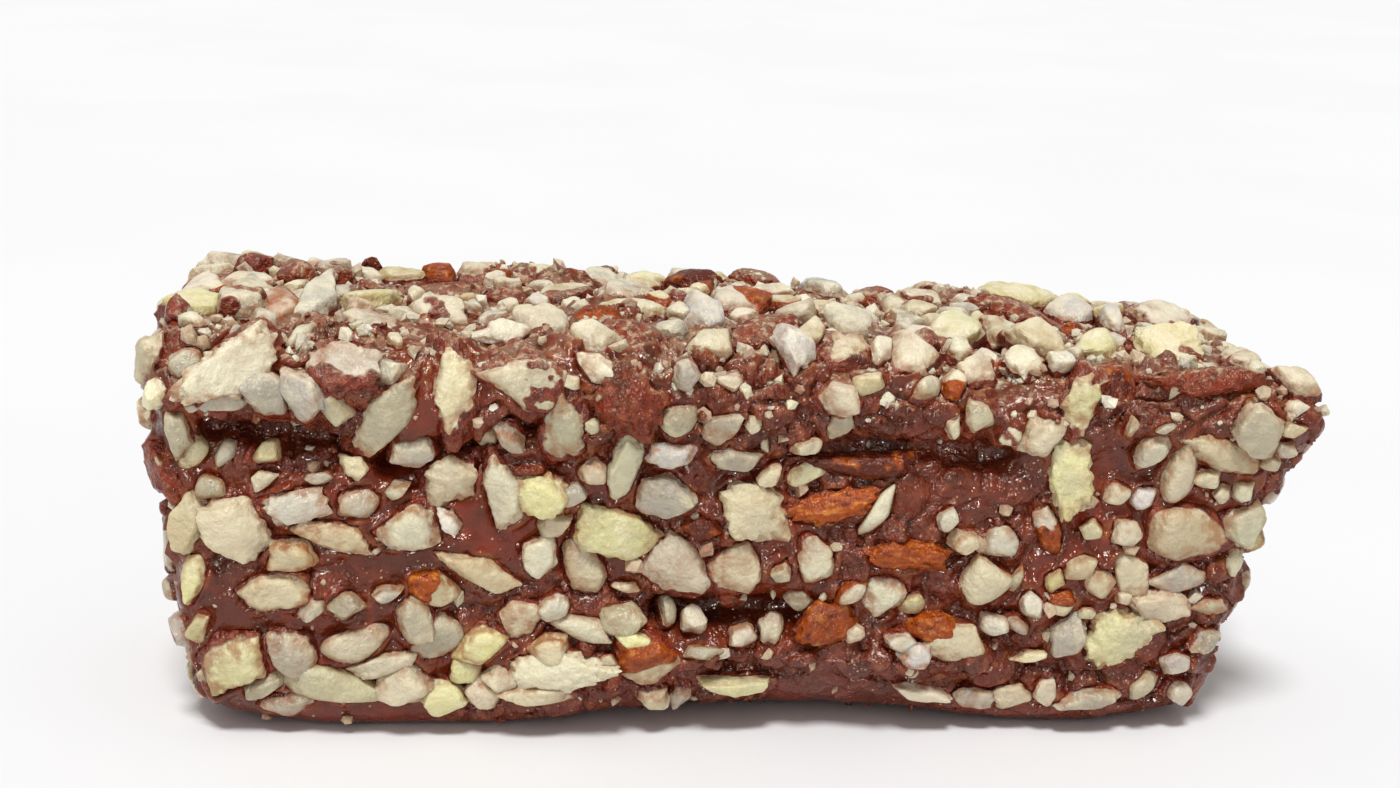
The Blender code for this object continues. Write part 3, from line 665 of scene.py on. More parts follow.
def knife_cuts(draw):
    """The cuts that shape one almond, as unit directions out of it and their distances from its middle."""
    start = draw.uniform(0, 1)
    steps = start + np.arange(SIDE_CUTS) + draw.uniform(-SIDE_CUT_JITTER, SIDE_CUT_JITTER, SIDE_CUTS)
    angles = steps * 2 * math.pi / SIDE_CUTS
    slopes = draw.uniform(0, SIDE_CUT_SLOPE, SIDE_CUTS)
    depths = draw.uniform(SIDE_CUT_NEAREST, SIDE_CUT_FARTHEST, SIDE_CUTS)
    outward = np.column_stack((np.cos(angles), np.sin(angles), slopes))
    ridge = draw.uniform(0, math.pi)
    for side, slope in zip((0, math.pi), draw.uniform(*TOP_CUT_SLOPES, 2)):
        outward = np.vstack((outward, (slope * math.cos(ridge + side), slope * math.sin(ridge + side), 1)))
    depths = np.append(depths, draw.uniform(TOP_CUT_NEAREST, 1, 2))
    stretch = np.linalg.norm(outward, axis=1)
    depths[SIDE_CUTS:] /= stretch[SIDE_CUTS:]
    return outward / stretch[:, None], depths


class Almond:
    """One chopped almond: where it lies, its half sizes, its cuts and its look."""

    def __init__(self, number, place, normal, right, size, turn, look, detail):
        draw = np.random.default_rng((ALMOND_SEED, number))
        length, width = size
        thickness = min(max(width * THICKNESS_SHARE, THICKNESS_LEAST), THICKNESS_MOST, length)
        self.proud = min(draw.uniform(PROUD_LEAST, PROUD_MOST), thickness * PROUD_SHARE)
        tilts = np.radians(draw.uniform(-TILT, TILT, 2))
        self.outward, self.depths = knife_cuts(draw)
        self.outward = np.vstack((self.outward, ((0, 0, 1), (0, 0, -1))))
        self.depths = np.append(self.depths, (1, 1))
        across = normal.cross(right).normalized()
        turned = Matrix((across.cross(normal), across, normal)).transposed().to_4x4()
        turned = turned @ Matrix.Rotation(math.radians(turn), 4, "Z")
        turned = turned @ Matrix.Rotation(tilts[0], 4, "X") @ Matrix.Rotation(tilts[1], 4, "Y")
        self.number = number
        self.place = np.array(place)
        self.normal = np.array(normal)
        self.turned = np.array(turned.to_3x3())
        self.half = np.array((length, width, thickness)) / 2
        self.middle = self.place - self.normal * (thickness / 2 - self.proud)
        self.words = look.split()
        self.finish = next((word for word in self.words if word in SHARPNESS), "plain")
        self.detail = detail
        self.draw = draw
        chips = draw.normal(0, 1, (CHIPS, 3))
        chips[:, 2] = np.abs(chips[:, 2])
        chips /= np.linalg.norm(chips, axis=1)[:, None]
        near = draw.uniform(*CHIP_DEPTH, CHIPS) / self.gauge(chips)
        self.outward = np.vstack((self.outward, chips))
        self.depths = np.append(self.depths, near)

    def gauge(self, local):
        """1 on its surface, less inside it and more outside, for points as shares of its half sizes."""
        reach = np.maximum(local @ self.outward.T, 0) / self.depths
        return (reach ** SHARPNESS[self.finish]).sum(axis=1) ** (1 / SHARPNESS[self.finish])

    def surface(self, directions):
        """Its points: the rounded block, with waves all over and tears round its sides."""
        local = directions / self.gauge(directions)[:, None]
        points = self.middle + (local * self.half) @ self.turned.T
        across = 1 - np.abs(directions[:, 2])
        swell = WAVE_DEPTH * waves(points, WAVE_PITCH * min(self.half.min() * 2, WAVE_WIDEST))
        jagged = waves(points, TEAR_PITCH) + FINE_TEAR * waves(points, TEAR_PITCH * FINE_TEAR_PITCH)
        tears = TEAR_DEPTH[self.finish] * jagged * (TEAR_ON_TOP + across)
        local *= (1 + swell + tears)[:, None]
        points = self.middle + (local * self.half) @ self.turned.T
        if self.normal[2] > UNDERSIDE_NORMAL:
            points[:, 2] += max(FLOOR_GAP - points[:, 2].min(), 0)
        points[:, 2] = np.maximum(points[:, 2], 0)
        return points


def listed(bar, front_list, top_list, first):
    """The almonds of two lists, each where the bar comes nearest to its place on the plain face."""
    on_front = [(Vector((x, -DEPTH / 2, z)), FRONT, 0, *rest) for x, z, *rest in front_list]
    on_top = [(Vector((x, y, HEIGHT_LEFT)), TOP, 0.5 - y / DEPTH, *rest) for x, y, *rest in top_list]
    laid = []
    for number, (spot, outward, forward, length, width, turn, look) in enumerate(on_front + on_top, first):
        place, normal, _, _ = bar.find_nearest(spot + outward)
        normal = (normal + (outward + FRONT * TOP_LEAN * forward).normalized()).normalized()
        place += TOP * TOP_LIFT * forward
        detail = FINEST if length > FINEST_LENGTH else FINER
        laid.append(Almond(number, place, normal, ALONG, (length, width), turn, look, detail))
    return laid


def scattered(cage, taken, keep, first, detail, seed, draws, count, lengths, apart):
    """Seeded draws over the bar, largest first, kept where they lie clear of others and keep says so."""
    draw = np.random.default_rng(seed)
    faces = cage.faces[:]
    areas = np.array([face.calc_area() for face in faces])
    chosen = draw.choice(len(faces), draws, p=areas / areas.sum())
    laid = []
    for index, length in zip(chosen, np.sort(draw.uniform(*lengths, draws))[::-1]):
        weights = draw.dirichlet((1, 1, 1))
        slimness = draw.uniform(*SCATTER_SLIMNESS)
        turn = draw.uniform(0, 360)
        normal = faces[index].normal
        place = sum((corner.co * share for corner, share in zip(faces[index].verts, weights)), Vector())
        gaps = np.linalg.norm(np.array([spot for spot, _ in taken]) - np.array(place), axis=1)
        reaches = np.array([reach for _, reach in taken])
        if (gaps < apart * (length + reaches)).any() or not keep(place, normal):
            continue
        number = first + len(laid)
        look = SCATTER_LOOKS[number * LOOK_STEP % len(SCATTER_LOOKS)]
        size = (length, length * slimness)
        laid.append(Almond(number, place, normal, normal.orthogonal(), size, turn, look, detail))
        taken.append((np.array(place), length))
        if len(laid) == count:
            break
    return laid


def off_the_front(place, normal):
    """Whether one of the larger almonds may be scattered at place."""
    return normal.y >= FRONT_NORMAL and place.z >= SCATTER_LOWEST and place.x <= SCATTER_FARTHEST


def outside_bare_zones(place, normal):
    """Whether a smaller almond may be scattered at place."""
    if place.x > SCATTER_FARTHEST or (normal.y < 0 and place.z < FINE_LOWEST):
        return False
    return normal.y >= FRONT_NORMAL or all(
        ((place.x - x) / half_x) ** 2 + ((place.z - z) / half_z) ** 2 > 1
        for x, z, half_x, half_z in BARE_ZONES
    )


@cache
def all_almonds():
    """Every almond of the sweet, the larger ones as the solid has them."""
    cage = bar_mesh()
    bar = BVHTree.FromBMesh(cage)
    large = listed(bar, FRONT_ALMONDS, TOP_ALMONDS, 0)
    taken = [(almond.place, almond.half[0] * 2) for almond in large]
    large += scattered(cage, taken, off_the_front, len(large), FINER, **SCATTER)
    small = listed(bar, SMALL_FRONT_ALMONDS, SMALL_TOP_ALMONDS, SMALL_FIRST_NUMBER)
    taken += [(almond.place, almond.half[0] * 2) for almond in small]
    small += scattered(cage, taken, outside_bare_zones, FINE_FIRST_NUMBER, FINE, **FINE_SCATTER)
    cage.free()
    return large + small


# ---------------------------------------------------------------- meshes


def placed(name, data):
    """A new object of the scene that holds data."""
    thing = bpy.data.objects.new(name, data)
    bpy.context.scene.collection.objects.link(thing)
    return thing


@cache
def ball(fineness):
    """The directions and the faces of an even ball."""
    cage = bmesh.new()
    bmesh.ops.create_icosphere(cage, subdivisions=fineness, radius=1)
    directions = np.array([vertex.co.normalized() for vertex in cage.verts])
    faces = np.array([[vertex.index for vertex in face.verts] for face in cage.faces])
    cage.free()
    return directions, faces


def show(name, points, faces, attributes, material, sharp=0):
    """A new shown piece of points in millimetres, with its attributes of one or four numbers a point."""
    mesh = bpy.data.meshes.new(name)
    mesh.from_pydata((points * MM).tolist(), [], faces.tolist())
    for title, values in attributes.items():
        kind, field = ("FLOAT_COLOR", "color") if values.ndim == 2 else ("FLOAT", "value")
        layer = mesh.attributes.new(title, kind, "POINT")
        layer.data.foreach_set(field, values.astype(np.float32).ravel())
    mesh.shade_smooth()
    if sharp:
        mesh.set_sharp_from_angle(angle=math.radians(sharp))
    mesh.materials.append(material)
    piece = placed(name, mesh)
    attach(piece, "root")
    return piece


def almonds_piece(almonds, name, material):
    """One piece of the given almonds, with what each of their points looks like."""
    points, faces, looks, start = [], [], [], 0
    for almond in almonds:
        directions, triangles = ball(almond.detail)
        surface = almond.surface(directions)
        points.append(surface)
        faces.append(triangles + start)
        looks.append(almond_looks(almond, surface, directions))
        start += len(surface)
    attributes = {title: np.concatenate([look[title] for look in looks]) for title in looks[0]}
    return show(name, np.concatenate(points), np.concatenate(faces), attributes, material, FACET_ANGLE)


# ---------------------------------------------------------------- looks of the almonds


def flesh_tint(almond, points):
    """The colour of an almond's cut faces: a little off its named tone, with patches of another."""
    settings = bpy.context.scene.toffee
    named = almond.words[0].split("_")[0]
    tone = np.array(getattr(settings, FLESH_UNDER.get(named, named)))
    shades = almond.draw.normal(0, 1, 2)
    tone = tone * (1 + TONE_SPREAD * shades[0]) * (1, 1, 1 + WARMTH_SPREAD * shades[1])
    other = np.array(settings.bright if almond.draw.random() < 0.5 else settings.grey)
    patch = ramp(-0.1, 0.7, waves(points, PATCH_PITCH, 3.0))[:, None] * PATCH_SHARE
    tint = np.ones((len(points), 4))
    tint[:, :3] = tone + (other - tone) * patch
    if "dull" in almond.words:
        tint[:, :3] *= DULL
    return tint


def chocolate_on(almond, points, directions, mottle):
    """How much chocolate is smeared over an almond at each point, and how much a film of it stains it."""
    draw, words = almond.draw, almond.words
    side = 1 - np.abs(directions[:, 2])
    height = (points - almond.place) @ almond.normal
    wet = almond.proud * draw.uniform(*SMEAR_SHARE)
    smear = 1 - ramp(wet * SMEAR_THIN, wet, height + mottle * SMEAR_UNEVEN)
    stain = 1 - ramp(wet, min(wet + STAIN_REACH, almond.proud), height + mottle * STAIN_UNEVEN)
    rim = draw.uniform(*RIM_STAIN)
    stain = np.maximum(stain, rim * ramp(0.25, 0.65, side + mottle * 0.5))
    patchy = draw.uniform(0, PATCHY_MOST)
    stain = np.maximum(stain, patchy * ramp(0.0, 0.5, waves(points, PATCHY_PITCH, 11.0) + mottle * 0.25))
    if draw.random() < SMEARED_SHARE and almond.normal[1] > FRONT_NORMAL:
        smear = np.maximum(smear, ramp(0.12, 0.4, waves(points, SMEARED_PITCH, 17.0) + mottle * 0.3))
    if "coated" in words:
        smear = np.maximum(smear, ramp(-0.62, -0.3, mottle + directions[:, 1] * 0.1))
    if "smeared" in words:
        smear = np.maximum(smear, ramp(-0.05, 0.25, mottle + 0.1) * ramp(-0.7, -0.1, directions[:, 0]))
    if "smeared_low" in words:
        smear = np.maximum(smear, ramp(0.1, -0.25, directions[:, 1] + mottle * 0.5) * 0.9)
    return smear, stain


def skin_on(almond, directions, mottle):
    """Where an almond still has its skin: round its rim, on one side, all over or nowhere."""
    kind = almond.words[0]
    if "rimmed" in almond.words:
        return ramp(0.45, 0.75, 1 - np.abs(directions[:, 2]) + mottle * 0.25)
    if kind in SKIN_SIDES:
        return ramp(-0.15, 0.15, directions @ np.array(SKIN_SIDES[kind]) + mottle * 0.35)
    if kind in ("skin", "redskin"):
        return ramp(-0.75, -0.35, mottle)
    return np.zeros(len(directions))


def almond_looks(almond, points, directions):
    """What each point of an almond looks like, as attributes that its material reads."""
    tint = flesh_tint(almond, points)
    mottle = waves(points, 0.7, 7.0) * 0.6 + waves(points, 0.3, 9.0) * 0.4
    smear, stain = chocolate_on(almond, points, directions, mottle)
    dark = REDSKIN_DARK if almond.words[0] == "redskin" else almond.draw.uniform(0, SKIN_DARKEST)
    local = (points - almond.middle) @ almond.turned
    return {
        "tint": tint,
        "smear": smear,
        "stain": stain,
        "skin": skin_on(almond, directions, mottle),
        "dark": np.full(len(points), dark),
        "fibre": 0.5 + 0.5 * waves(local * FIBRE_STRETCH, FIBRE_PITCH, float(almond.number)),
    }


# ---------------------------------------------------------------- the chocolate


def facings(points, faces):
    """The outward direction of each triangle, twice as long as its area."""
    corners = points[faces]
    return np.cross(corners[:, 1] - corners[:, 0], corners[:, 2] - corners[:, 0])


def corner_normals(points, faces):
    """The outward direction at each point of a mesh of triangles."""
    facing = facings(points, faces)
    summed = np.zeros_like(points)
    for corner in range(3):
        np.add.at(summed, faces[:, corner], facing)
    return summed / np.linalg.norm(summed, axis=1)[:, None]


def drawn_fine(face):
    """Whether a cell of the block is on the front or on the near part of the top."""
    middle = face.calc_center_median()
    front, near_top = FINE_FROM
    return middle.y < front or (middle.y < near_top and middle.z > HEIGHT_LEFT / 2)


def coat_mesh():
    """The dipped bar in fine triangles, finest on the front and the near part of the top."""
    cage = block_cage()
    bmesh.ops.subdivide_edges(cage, edges=cage.edges[:], cuts=COAT_FINENESS, use_grid_fill=True)
    edges = list(dict.fromkeys(edge for face in cage.faces if drawn_fine(face) for edge in face.edges))
    bmesh.ops.subdivide_edges(cage, edges=edges, cuts=1, use_grid_fill=True)
    bmesh.ops.triangulate(cage, faces=cage.faces)
    points = np.array([shaped(vertex.co) for vertex in cage.verts])
    faces = np.array([[vertex.index for vertex in face.verts] for face in cage.faces])
    cage.free()
    return points, faces


def crumbliness(points, normals):
    """How broken the chocolate is at each point, from 0 where it flowed smooth to 1."""
    broken = ramp(-0.35, 0.45, waves(points, CRUMBLE_PITCH, 1.0))
    for x, z, half_x, half_z, more in FRONT_ZONES:
        away = ((points[:, 0] - x) / half_x) ** 2 + ((points[:, 2] - z) / half_z) ** 2
        broken += more * np.exp(-away) * np.maximum(-normals[:, 1], 0)
    return np.clip(broken, 0, 1)


def plates(points, pitch):
    """Broken plates, each tilted its own way, with sharp steps between them."""
    noise.seed_set(PLATE_SEED)
    heights = []
    for point in (points / pitch).tolist():
        (nearest, second, *_), (middle, *_) = noise.voronoi(point)
        tilt = noise.noise_vector(middle * PLATE_TURN)
        seam = math.exp(-(((second - nearest) / PLATE_SEAM) ** 2))
        heights.append((Vector(point) - middle).dot(tilt) * PLATE_TILT - seam * PLATE_SEAM_DEPTH)
    return np.array(heights)


def lumps(points, pitch):
    """Rounded lumps with sharp seams between them, high on a lump and low in a seam."""
    nearest = [noise.voronoi(point)[0][0] for point in (points / pitch).tolist()]
    return 1 - np.minimum(np.array(nearest), 1) ** 2 - LUMP_LEVEL


def seams(points, normals):
    """How deep the fine grooves along the front's creases go at each point."""
    deepest = np.zeros(len(points))
    wander = waves(points, CREASE_WANDER_PITCH, 5.0) * CREASE_WANDER
    for x_from, z_from, x_to, z_to, depth in CREASES:
        start = np.array((x_from, z_from))
        run = np.array((x_to, z_to)) - start
        away = points[:, [0, 2]] - start
        share = np.clip(away @ run / (run @ run), 0, 1)
        distance = np.linalg.norm(away - share[:, None] * run, axis=1) + wander
        deepest = np.maximum(deepest, depth * np.exp(-((distance / GROOVE_HALF) ** 2)))
    return deepest * np.maximum(-normals[:, 1], 0)


def fillets(points, almonds):
    """How the chocolate climbs each almond beside it, how near an almond is, and what lies under one."""
    climb = np.zeros(len(points))
    nearness = np.zeros(len(points))
    under = np.zeros(len(points), bool)
    wetness = ramp(-0.35, 0.25, waves(points, WET_PITCH, 2.0))
    order = np.argsort(points[:, 0])
    along = points[order, 0]
    for almond in almonds:
        reach = almond.half[0] * LENGTH_SEARCH + WET_REACH * WET_SEARCH
        first, last = np.searchsorted(along, (almond.middle[0] - reach, almond.middle[0] + reach))
        near = order[first:last]
        away = points[near] - almond.middle
        distance = np.linalg.norm(away, axis=1)
        near, away, distance = near[distance < reach], away[distance < reach], distance[distance < reach]
        local = away @ almond.turned / almond.half
        gauge = np.maximum(almond.gauge(local), MIDDLE_GAUGE)
        share = np.exp(-((distance * (1 - 1 / gauge) / WET_REACH) ** 2))
        size = min(1, almond.half[1] / WET_FULL_HALF)
        moved = (WET_RISE * wetness[near] - DRY_GROOVE * (1 - wetness[near])) * share * size
        larger = np.abs(moved) > np.abs(climb[near])
        climb[near[larger]] = moved[larger]
        nearness[near] = np.maximum(nearness[near], share)
        if not COVERED.intersection(almond.words):
            height = np.abs(local[:, 2])
            inside = almond.gauge(local * (1, 1, 0)) < UNDER_SHARE
            under[near[inside & (height < UNDER_HEIGHT)]] = True
    return climb, nearness, under


@cache
def coat_surface():
    """The chocolate's points, faces, and what its points look like."""
    points, faces = coat_mesh()
    normals = corner_normals(points, faces)
    if np.sum(normals * (points - points.mean(axis=0))) < 0:
        faces, normals = faces[:, ::-1], -normals
    broken = crumbliness(points, normals)
    rise = ROUGHNESS[0] * waves(points, ROUGHNESS[1])
    rise += RIPPLE[0] * waves(points, RIPPLE[1], 4.0)
    rise += TOP_MOUNDS[0] * ramp(0.5, 0.9, normals[:, 2]) * waves(points, TOP_MOUNDS[1], 6.0)
    rise += broken * PLATES[0] * plates(points, PLATES[1])
    rise += broken * LUMPS[0] * lumps(points, LUMPS[1])
    rise += broken * FINE_LUMPS[0] * lumps(points, FINE_LUMPS[1])
    rise -= seams(points, normals) * GROOVE_SHARE
    climb, nearness, under = fillets(points, all_almonds())
    rise += climb
    rise[under] = np.minimum(rise[under], -UNDER_DEPTH)
    lift = ramp(0.0, LIFT_FREE, points[:, 2]) * (1 - ramp(*EAR_SMOOTH, points[:, 0]))
    moved = points + normals * (rise * lift)[:, None]
    moved[:, 2] = np.maximum(moved[:, 2], FLOOR_SKIN)
    return moved, faces, {"broken": broken, "nearness": nearness}


def sprinkle(name, count, seed, sizes, jagged, favour, tone, material):
    """One piece of crumbs on the coat, favour being how likely each of the coat's faces is to hold one."""
    draw = np.random.default_rng(seed)
    points, faces, coat = coat_surface()
    normals = corner_normals(points, faces)
    areas = np.linalg.norm(facings(points, faces), axis=1)
    middles = points[faces].mean(axis=1)
    weights = areas * favour(middles, normals[faces[:, 0]], coat["broken"][faces[:, 0]])
    chosen = draw.choice(len(faces), count, p=weights / weights.sum())
    directions, triangles = ball(CRUMB)
    grains, tints = [], []
    for face in chosen:
        size = sizes[0] + (sizes[1] - sizes[0]) * draw.random() ** CRUMB_SKEW
        shape = directions * draw.uniform(*CRUMB_STRETCH, 3)
        shape = shape * (1 + jagged * draw.uniform(-1, 1, (len(shape), 1)))
        turned = np.array(Vector(draw.normal(0, 1, 3)).to_track_quat("Z", "Y").to_matrix())
        middle = middles[face] + normals[faces[face, 0]] * size * CRUMB_LIFT
        grain = middle + shape @ turned.T * size / 2
        grain[:, 2] = np.maximum(grain[:, 2], FLOOR_SKIN)
        grains.append(grain)
        tints.append(np.tile((*tone(draw), 1), (len(grain), 1)))
    blocks = [triangles + len(directions) * number for number in range(count)]
    tint = np.concatenate(tints)
    attributes = {"tint": tint, "broken": np.ones(len(tint))}
    return show(name, np.concatenate(grains), np.concatenate(blocks), attributes, material, CRUMB_FACET_ANGLE)


# ---------------------------------------------------------------- materials


class Sock:
    """A shader value that can be written as a Python expression."""

    def __init__(self, paint, socket):
        self.paint = paint
        self.socket = socket

    def math(self, operation, *values):
        """A Math node of this and other values."""
        return self.paint.node("ShaderNodeMath", {"operation": operation}, *values)

    def __add__(self, other):
        return self.math("ADD", self, other)

    __radd__ = __add__

    def __sub__(self, other):
        return self.math("SUBTRACT", self, other)

    def __rsub__(self, other):
        return self.math("SUBTRACT", other, self)

    def __mul__(self, other):
        return self.math("MULTIPLY", self, other)

    __rmul__ = __mul__

    def over(self, low, high):
        """0 at low, 1 at high and smooth between."""
        settings = {"interpolation_type": "SMOOTHSTEP"}
        return self.paint.node("ShaderNodeMapRange", settings, self, low, high, 0.0, 1.0)


class Paint:
    """A material under construction."""

    def __init__(self, name, **constants):
        self.material = bpy.data.materials.new(name)
        self.material.use_nodes = True
        self.tree = self.material.node_tree
        self.shader = self.tree.nodes["Principled BSDF"]
        for title, value in constants.items():
            self.feed(title.replace("_", " "), value)

    def feed(self, title, value):
        """Gives one of the shader's sockets a value or a link."""
        self.plug(self.shader.inputs[title], value)

    def plug(self, target, value):
        """Gives a socket a value or a link."""
        if isinstance(value, Sock):
            self.tree.links.new(value.socket, target)
        else:
            target.default_value = value

    def node(self, kind, settings, *values, output=0, **named):
        """A node with its settings, then what its sockets in use hold, in order or by name."""
        made = self.tree.nodes.new(kind)
        for title, value in settings.items():
            setattr(made, title, value)
        in_use = [target for target in made.inputs if target.enabled]
        for target, value in zip(in_use, values):
            self.plug(target, value)
        for title, value in named.items():
            self.plug(made.inputs[title], value)
        return Sock(self, [source for source in made.outputs if source.enabled][output])

    def amount(self, title):
        """An attribute of one number."""
        return self.node("ShaderNodeAttribute", {"attribute_name": title}, output=2)

    def tint(self, title):
        """An attribute that is a colour."""
        return self.node("ShaderNodeAttribute", {"attribute_name": title})

    def place(self):
        """The place on the piece, in metres."""
        return self.node("ShaderNodeTexCoord", {}, output=3)

    def upward(self, direction):
        """The vertical share of a direction or a place."""
        return self.node("ShaderNodeSeparateXYZ", {}, direction, output=2)

    def grain(self, pitch, detail=2.0, roughness=0.55):
        """A noise between about 0 and 1, pitch millimetres from one grain to the next."""
        return self.node("ShaderNodeTexNoise", {}, self.place(), 1 / (pitch * MM), detail, roughness)

    def cells(self, pitch):
        """0 at the middle of each cell, growing to its border, pitch millimetres from one to the next."""
        return self.node("ShaderNodeTexVoronoi", {}, self.place(), 1 / (pitch * MM))

    def mix(self, share, first, second):
        """A colour between the first and the second."""
        colours = [value if isinstance(value, Sock) else (*value, 1) for value in (first, second)]
        return self.node("ShaderNodeMix", {"data_type": "RGBA"}, share, *colours)

    def bump(self, height, depth):
        """Relief too fine for the mesh: its height, and the millimetres that a height of 1 stands for."""
        self.feed("Normal", self.node("ShaderNodeBump", {}, Strength=1.0, Distance=depth * MM, Height=height))


def on_top(paint):
    """1 on what faces up near the top, and 0 on what faces sideways or lies low."""
    facing = paint.upward(paint.node("ShaderNodeNewGeometry", {}, output=1))
    low, high = TOP_LEVELS
    return facing.over(*TOP_FACING) * paint.upward(paint.place()).over(low * MM, high * MM)


def dusted_and_lit(paint, settings, colour):
    """A brown colour, under pale specks on the top: partly almond dust, partly painted light on its upward
    faces.
    """
    specks = paint.grain(0.3, 3.0).over(0.5, 0.65) * 0.55 + paint.grain(0.9, 4.0).over(0.35, 0.7) * 0.3
    # Painted light: the upward faces of the top are made paler, partly as almond dust and partly as the light
    # that falls on them.
    return paint.mix(on_top(paint) * specks, colour, settings.dust_and_sheen)


def chocolate_colour(paint, settings, broken):
    """Milk chocolate: reddish where it flowed or is thin, dusty brown where it broke, darker in random
    patches, with pale specks that are partly painted glints.
    """
    flowed = paint.mix(paint.grain(2.2).over(0.35, 0.65), settings.chocolate, settings.chocolate_red)
    flowed = paint.mix(paint.grain(3.1, 2.0).over(0.35, 0.6) * 0.5, flowed, settings.chocolate_dark)
    dusty = paint.mix(paint.grain(0.4, 4.0).over(0.42, 0.68), settings.chocolate, settings.chocolate_dusty)
    colour = paint.mix(broken * paint.grain(1.1).over(0.25, 0.6), flowed, dusty)
    thin = paint.amount("nearness").over(0.2, 0.9) * paint.grain(0.8).over(0.3, 0.6)
    colour = paint.mix(thin * 0.8, colour, settings.chocolate_red)
    colour = paint.mix(thin * paint.grain(1.1, 3.0).over(0.4, 0.65) * 0.55, colour, settings.film)
    colour = paint.mix(paint.grain(1.3, 3.0).over(0.48, 0.68) * 0.7, colour, settings.chocolate_dark)
    # Pale specks: partly sugar and almond dust, partly painted glints that stand in for small highlights.
    specks_and_glints = (1 - paint.cells(0.32).over(0.1, 0.2)) * paint.grain(0.9).over(0.45, 0.6)
    colour = paint.mix(specks_and_glints * 0.75, colour, settings.dust_and_sheen)
    return dusted_and_lit(paint, settings, colour)


@cache
def chocolate_material():
    """Milk chocolate, one material for the coat and its crumbs, how broken it is from the mesh."""
    settings = bpy.context.scene.toffee
    paint = Paint(
        "milk_chocolate", IOR=1.46, Specular_Tint=BROWN_GLOSS, Coat_Weight=0.24, Coat_Roughness=0.12,
        Subsurface_Weight=0.05, Subsurface_Scale=CHOCOLATE_DEPTH * MM,
    )
    broken = paint.amount("broken")
    paint.feed("Base Color", chocolate_colour(paint, settings, broken))
    paint.feed("Roughness", broken * 0.08 + paint.grain(0.7).over(0.3, 0.7) * 0.2 + 0.1)
    crumbled = (broken * 0.9 + 0.15) * paint.grain(0.34, 2.0, 0.6)
    paint.bump(crumbled + paint.grain(0.16, 1.0) * 0.15 + paint.grain(0.9) * 0.7, CHOCOLATE_RELIEF)
    return paint.material


def flesh_colour(paint, settings):
    """Cut almond: its tint with brighter and brown specks, a film of chocolate, and a pale cast on the top
    that is partly almond meal and partly painted light.
    """
    colour = paint.mix(paint.grain(0.8, 3.0).over(0.45, 0.75) * 0.5, paint.tint("tint"), settings.bright)
    colour = paint.mix(paint.grain(0.14, 2.0).over(0.68, 0.76) * 0.25, colour, settings.caramel)
    filmed = paint.amount("stain") * paint.grain(0.45, 3.0).over(0.3, 0.6) * 0.7
    colour = paint.mix(filmed, colour, settings.film)
    # Painted light: the upward faces of almonds on the top are made paler, partly as almond meal.
    return paint.mix(on_top(paint) * paint.grain(0.8, 4.0).over(0.35, 0.6) * 0.45, colour, settings.meal_and_sheen)


def skin_colour(paint, settings, wrinkle):
    """Almond skin: its own dark and light fibres, with painted shade in its wrinkles and painted highlights
    on its ridges.
    """
    # Painted shade and highlight: the dark tone where the wrinkles' relief is low, the light tone where it is
    # high.
    colour = paint.mix(wrinkle.over(0.3, 0.5), settings.redskin, settings.skin)
    colour = paint.mix(wrinkle.over(0.52, 0.7) * 0.7, colour, settings.skin_streak_and_highlight)
    return paint.mix(paint.amount("dark") * paint.grain(0.9, 3.0).over(0.3, 0.6), colour, settings.redskin)


def smear_colour(paint, settings):
    """Chocolate smeared over an almond."""
    colour = paint.mix(paint.grain(0.5, 3.0).over(0.4, 0.62), settings.chocolate, settings.chocolate_red)
    colour = paint.mix(paint.grain(0.4, 4.0).over(0.42, 0.66) * 0.8, colour, settings.chocolate_dusty)
    colour = paint.mix(paint.grain(0.9, 3.0).over(0.5, 0.68) * 0.7, colour, settings.chocolate_dark)
    return dusted_and_lit(paint, settings, colour)


def almond_material(name, weight, gloss, gloss_tint):
    """Almond flesh, its tint and its smears and skin from the mesh."""
    settings = bpy.context.scene.toffee
    paint = Paint(
        name, IOR=1.45, Specular_Tint=gloss_tint, Subsurface_Weight=weight,
        Subsurface_Scale=FLESH_DEPTH * MM, Subsurface_Radius=FLESH_BLEED,
    )
    skin = paint.amount("skin")
    wrinkle = paint.amount("fibre") * 0.4 + paint.grain(0.4, 4.0, 0.65) * 0.6
    cover = skin.over(0.3, 0.6)
    colour = paint.mix(cover, flesh_colour(paint, settings), skin_colour(paint, settings, wrinkle))
    covered = (paint.amount("smear") + (paint.grain(0.35, 3.0) - 0.5) * 0.5).over(0.4, 0.85)
    paint.feed("Base Color", paint.mix(covered, colour, smear_colour(paint, settings)))
    paint.feed("Roughness", covered * -0.1 + skin * -0.1 + paint.grain(0.5).over(0.3, 0.7) * 0.18 + gloss)
    relief = paint.grain(0.3, 2.5, 0.6) * 0.9 + skin * wrinkle * 1.2 + covered * paint.grain(0.3) * 0.8
    paint.bump(relief, FLESH_RELIEF)
    return paint.material


def floor_material():
    """A plain pale floor with hardly seen shades."""
    settings = bpy.context.scene.toffee
    paint = Paint("floor_white", Roughness=0.75)
    shaded = [share * FLOOR_SHADE for share in settings.floor]
    paint.feed("Base Color", paint.mix(paint.grain(FLOOR_PATCH).over(0.4, 0.6), settings.floor, shaded))
    return paint.material


# ---------------------------------------------------------------- the stage


def add_floor(settings):
    """A square of floor, with its middle under the sweet."""
    half = settings.stage_size / 2
    corners = [(-half, -half, 0), (half, -half, 0), (half, half, 0), (-half, half, 0)]
    mesh = bpy.data.meshes.new("floor")
    mesh.from_pydata(corners, [], [(0, 1, 2, 3)])
    mesh.materials.append(floor_material())
    placed("floor", mesh)


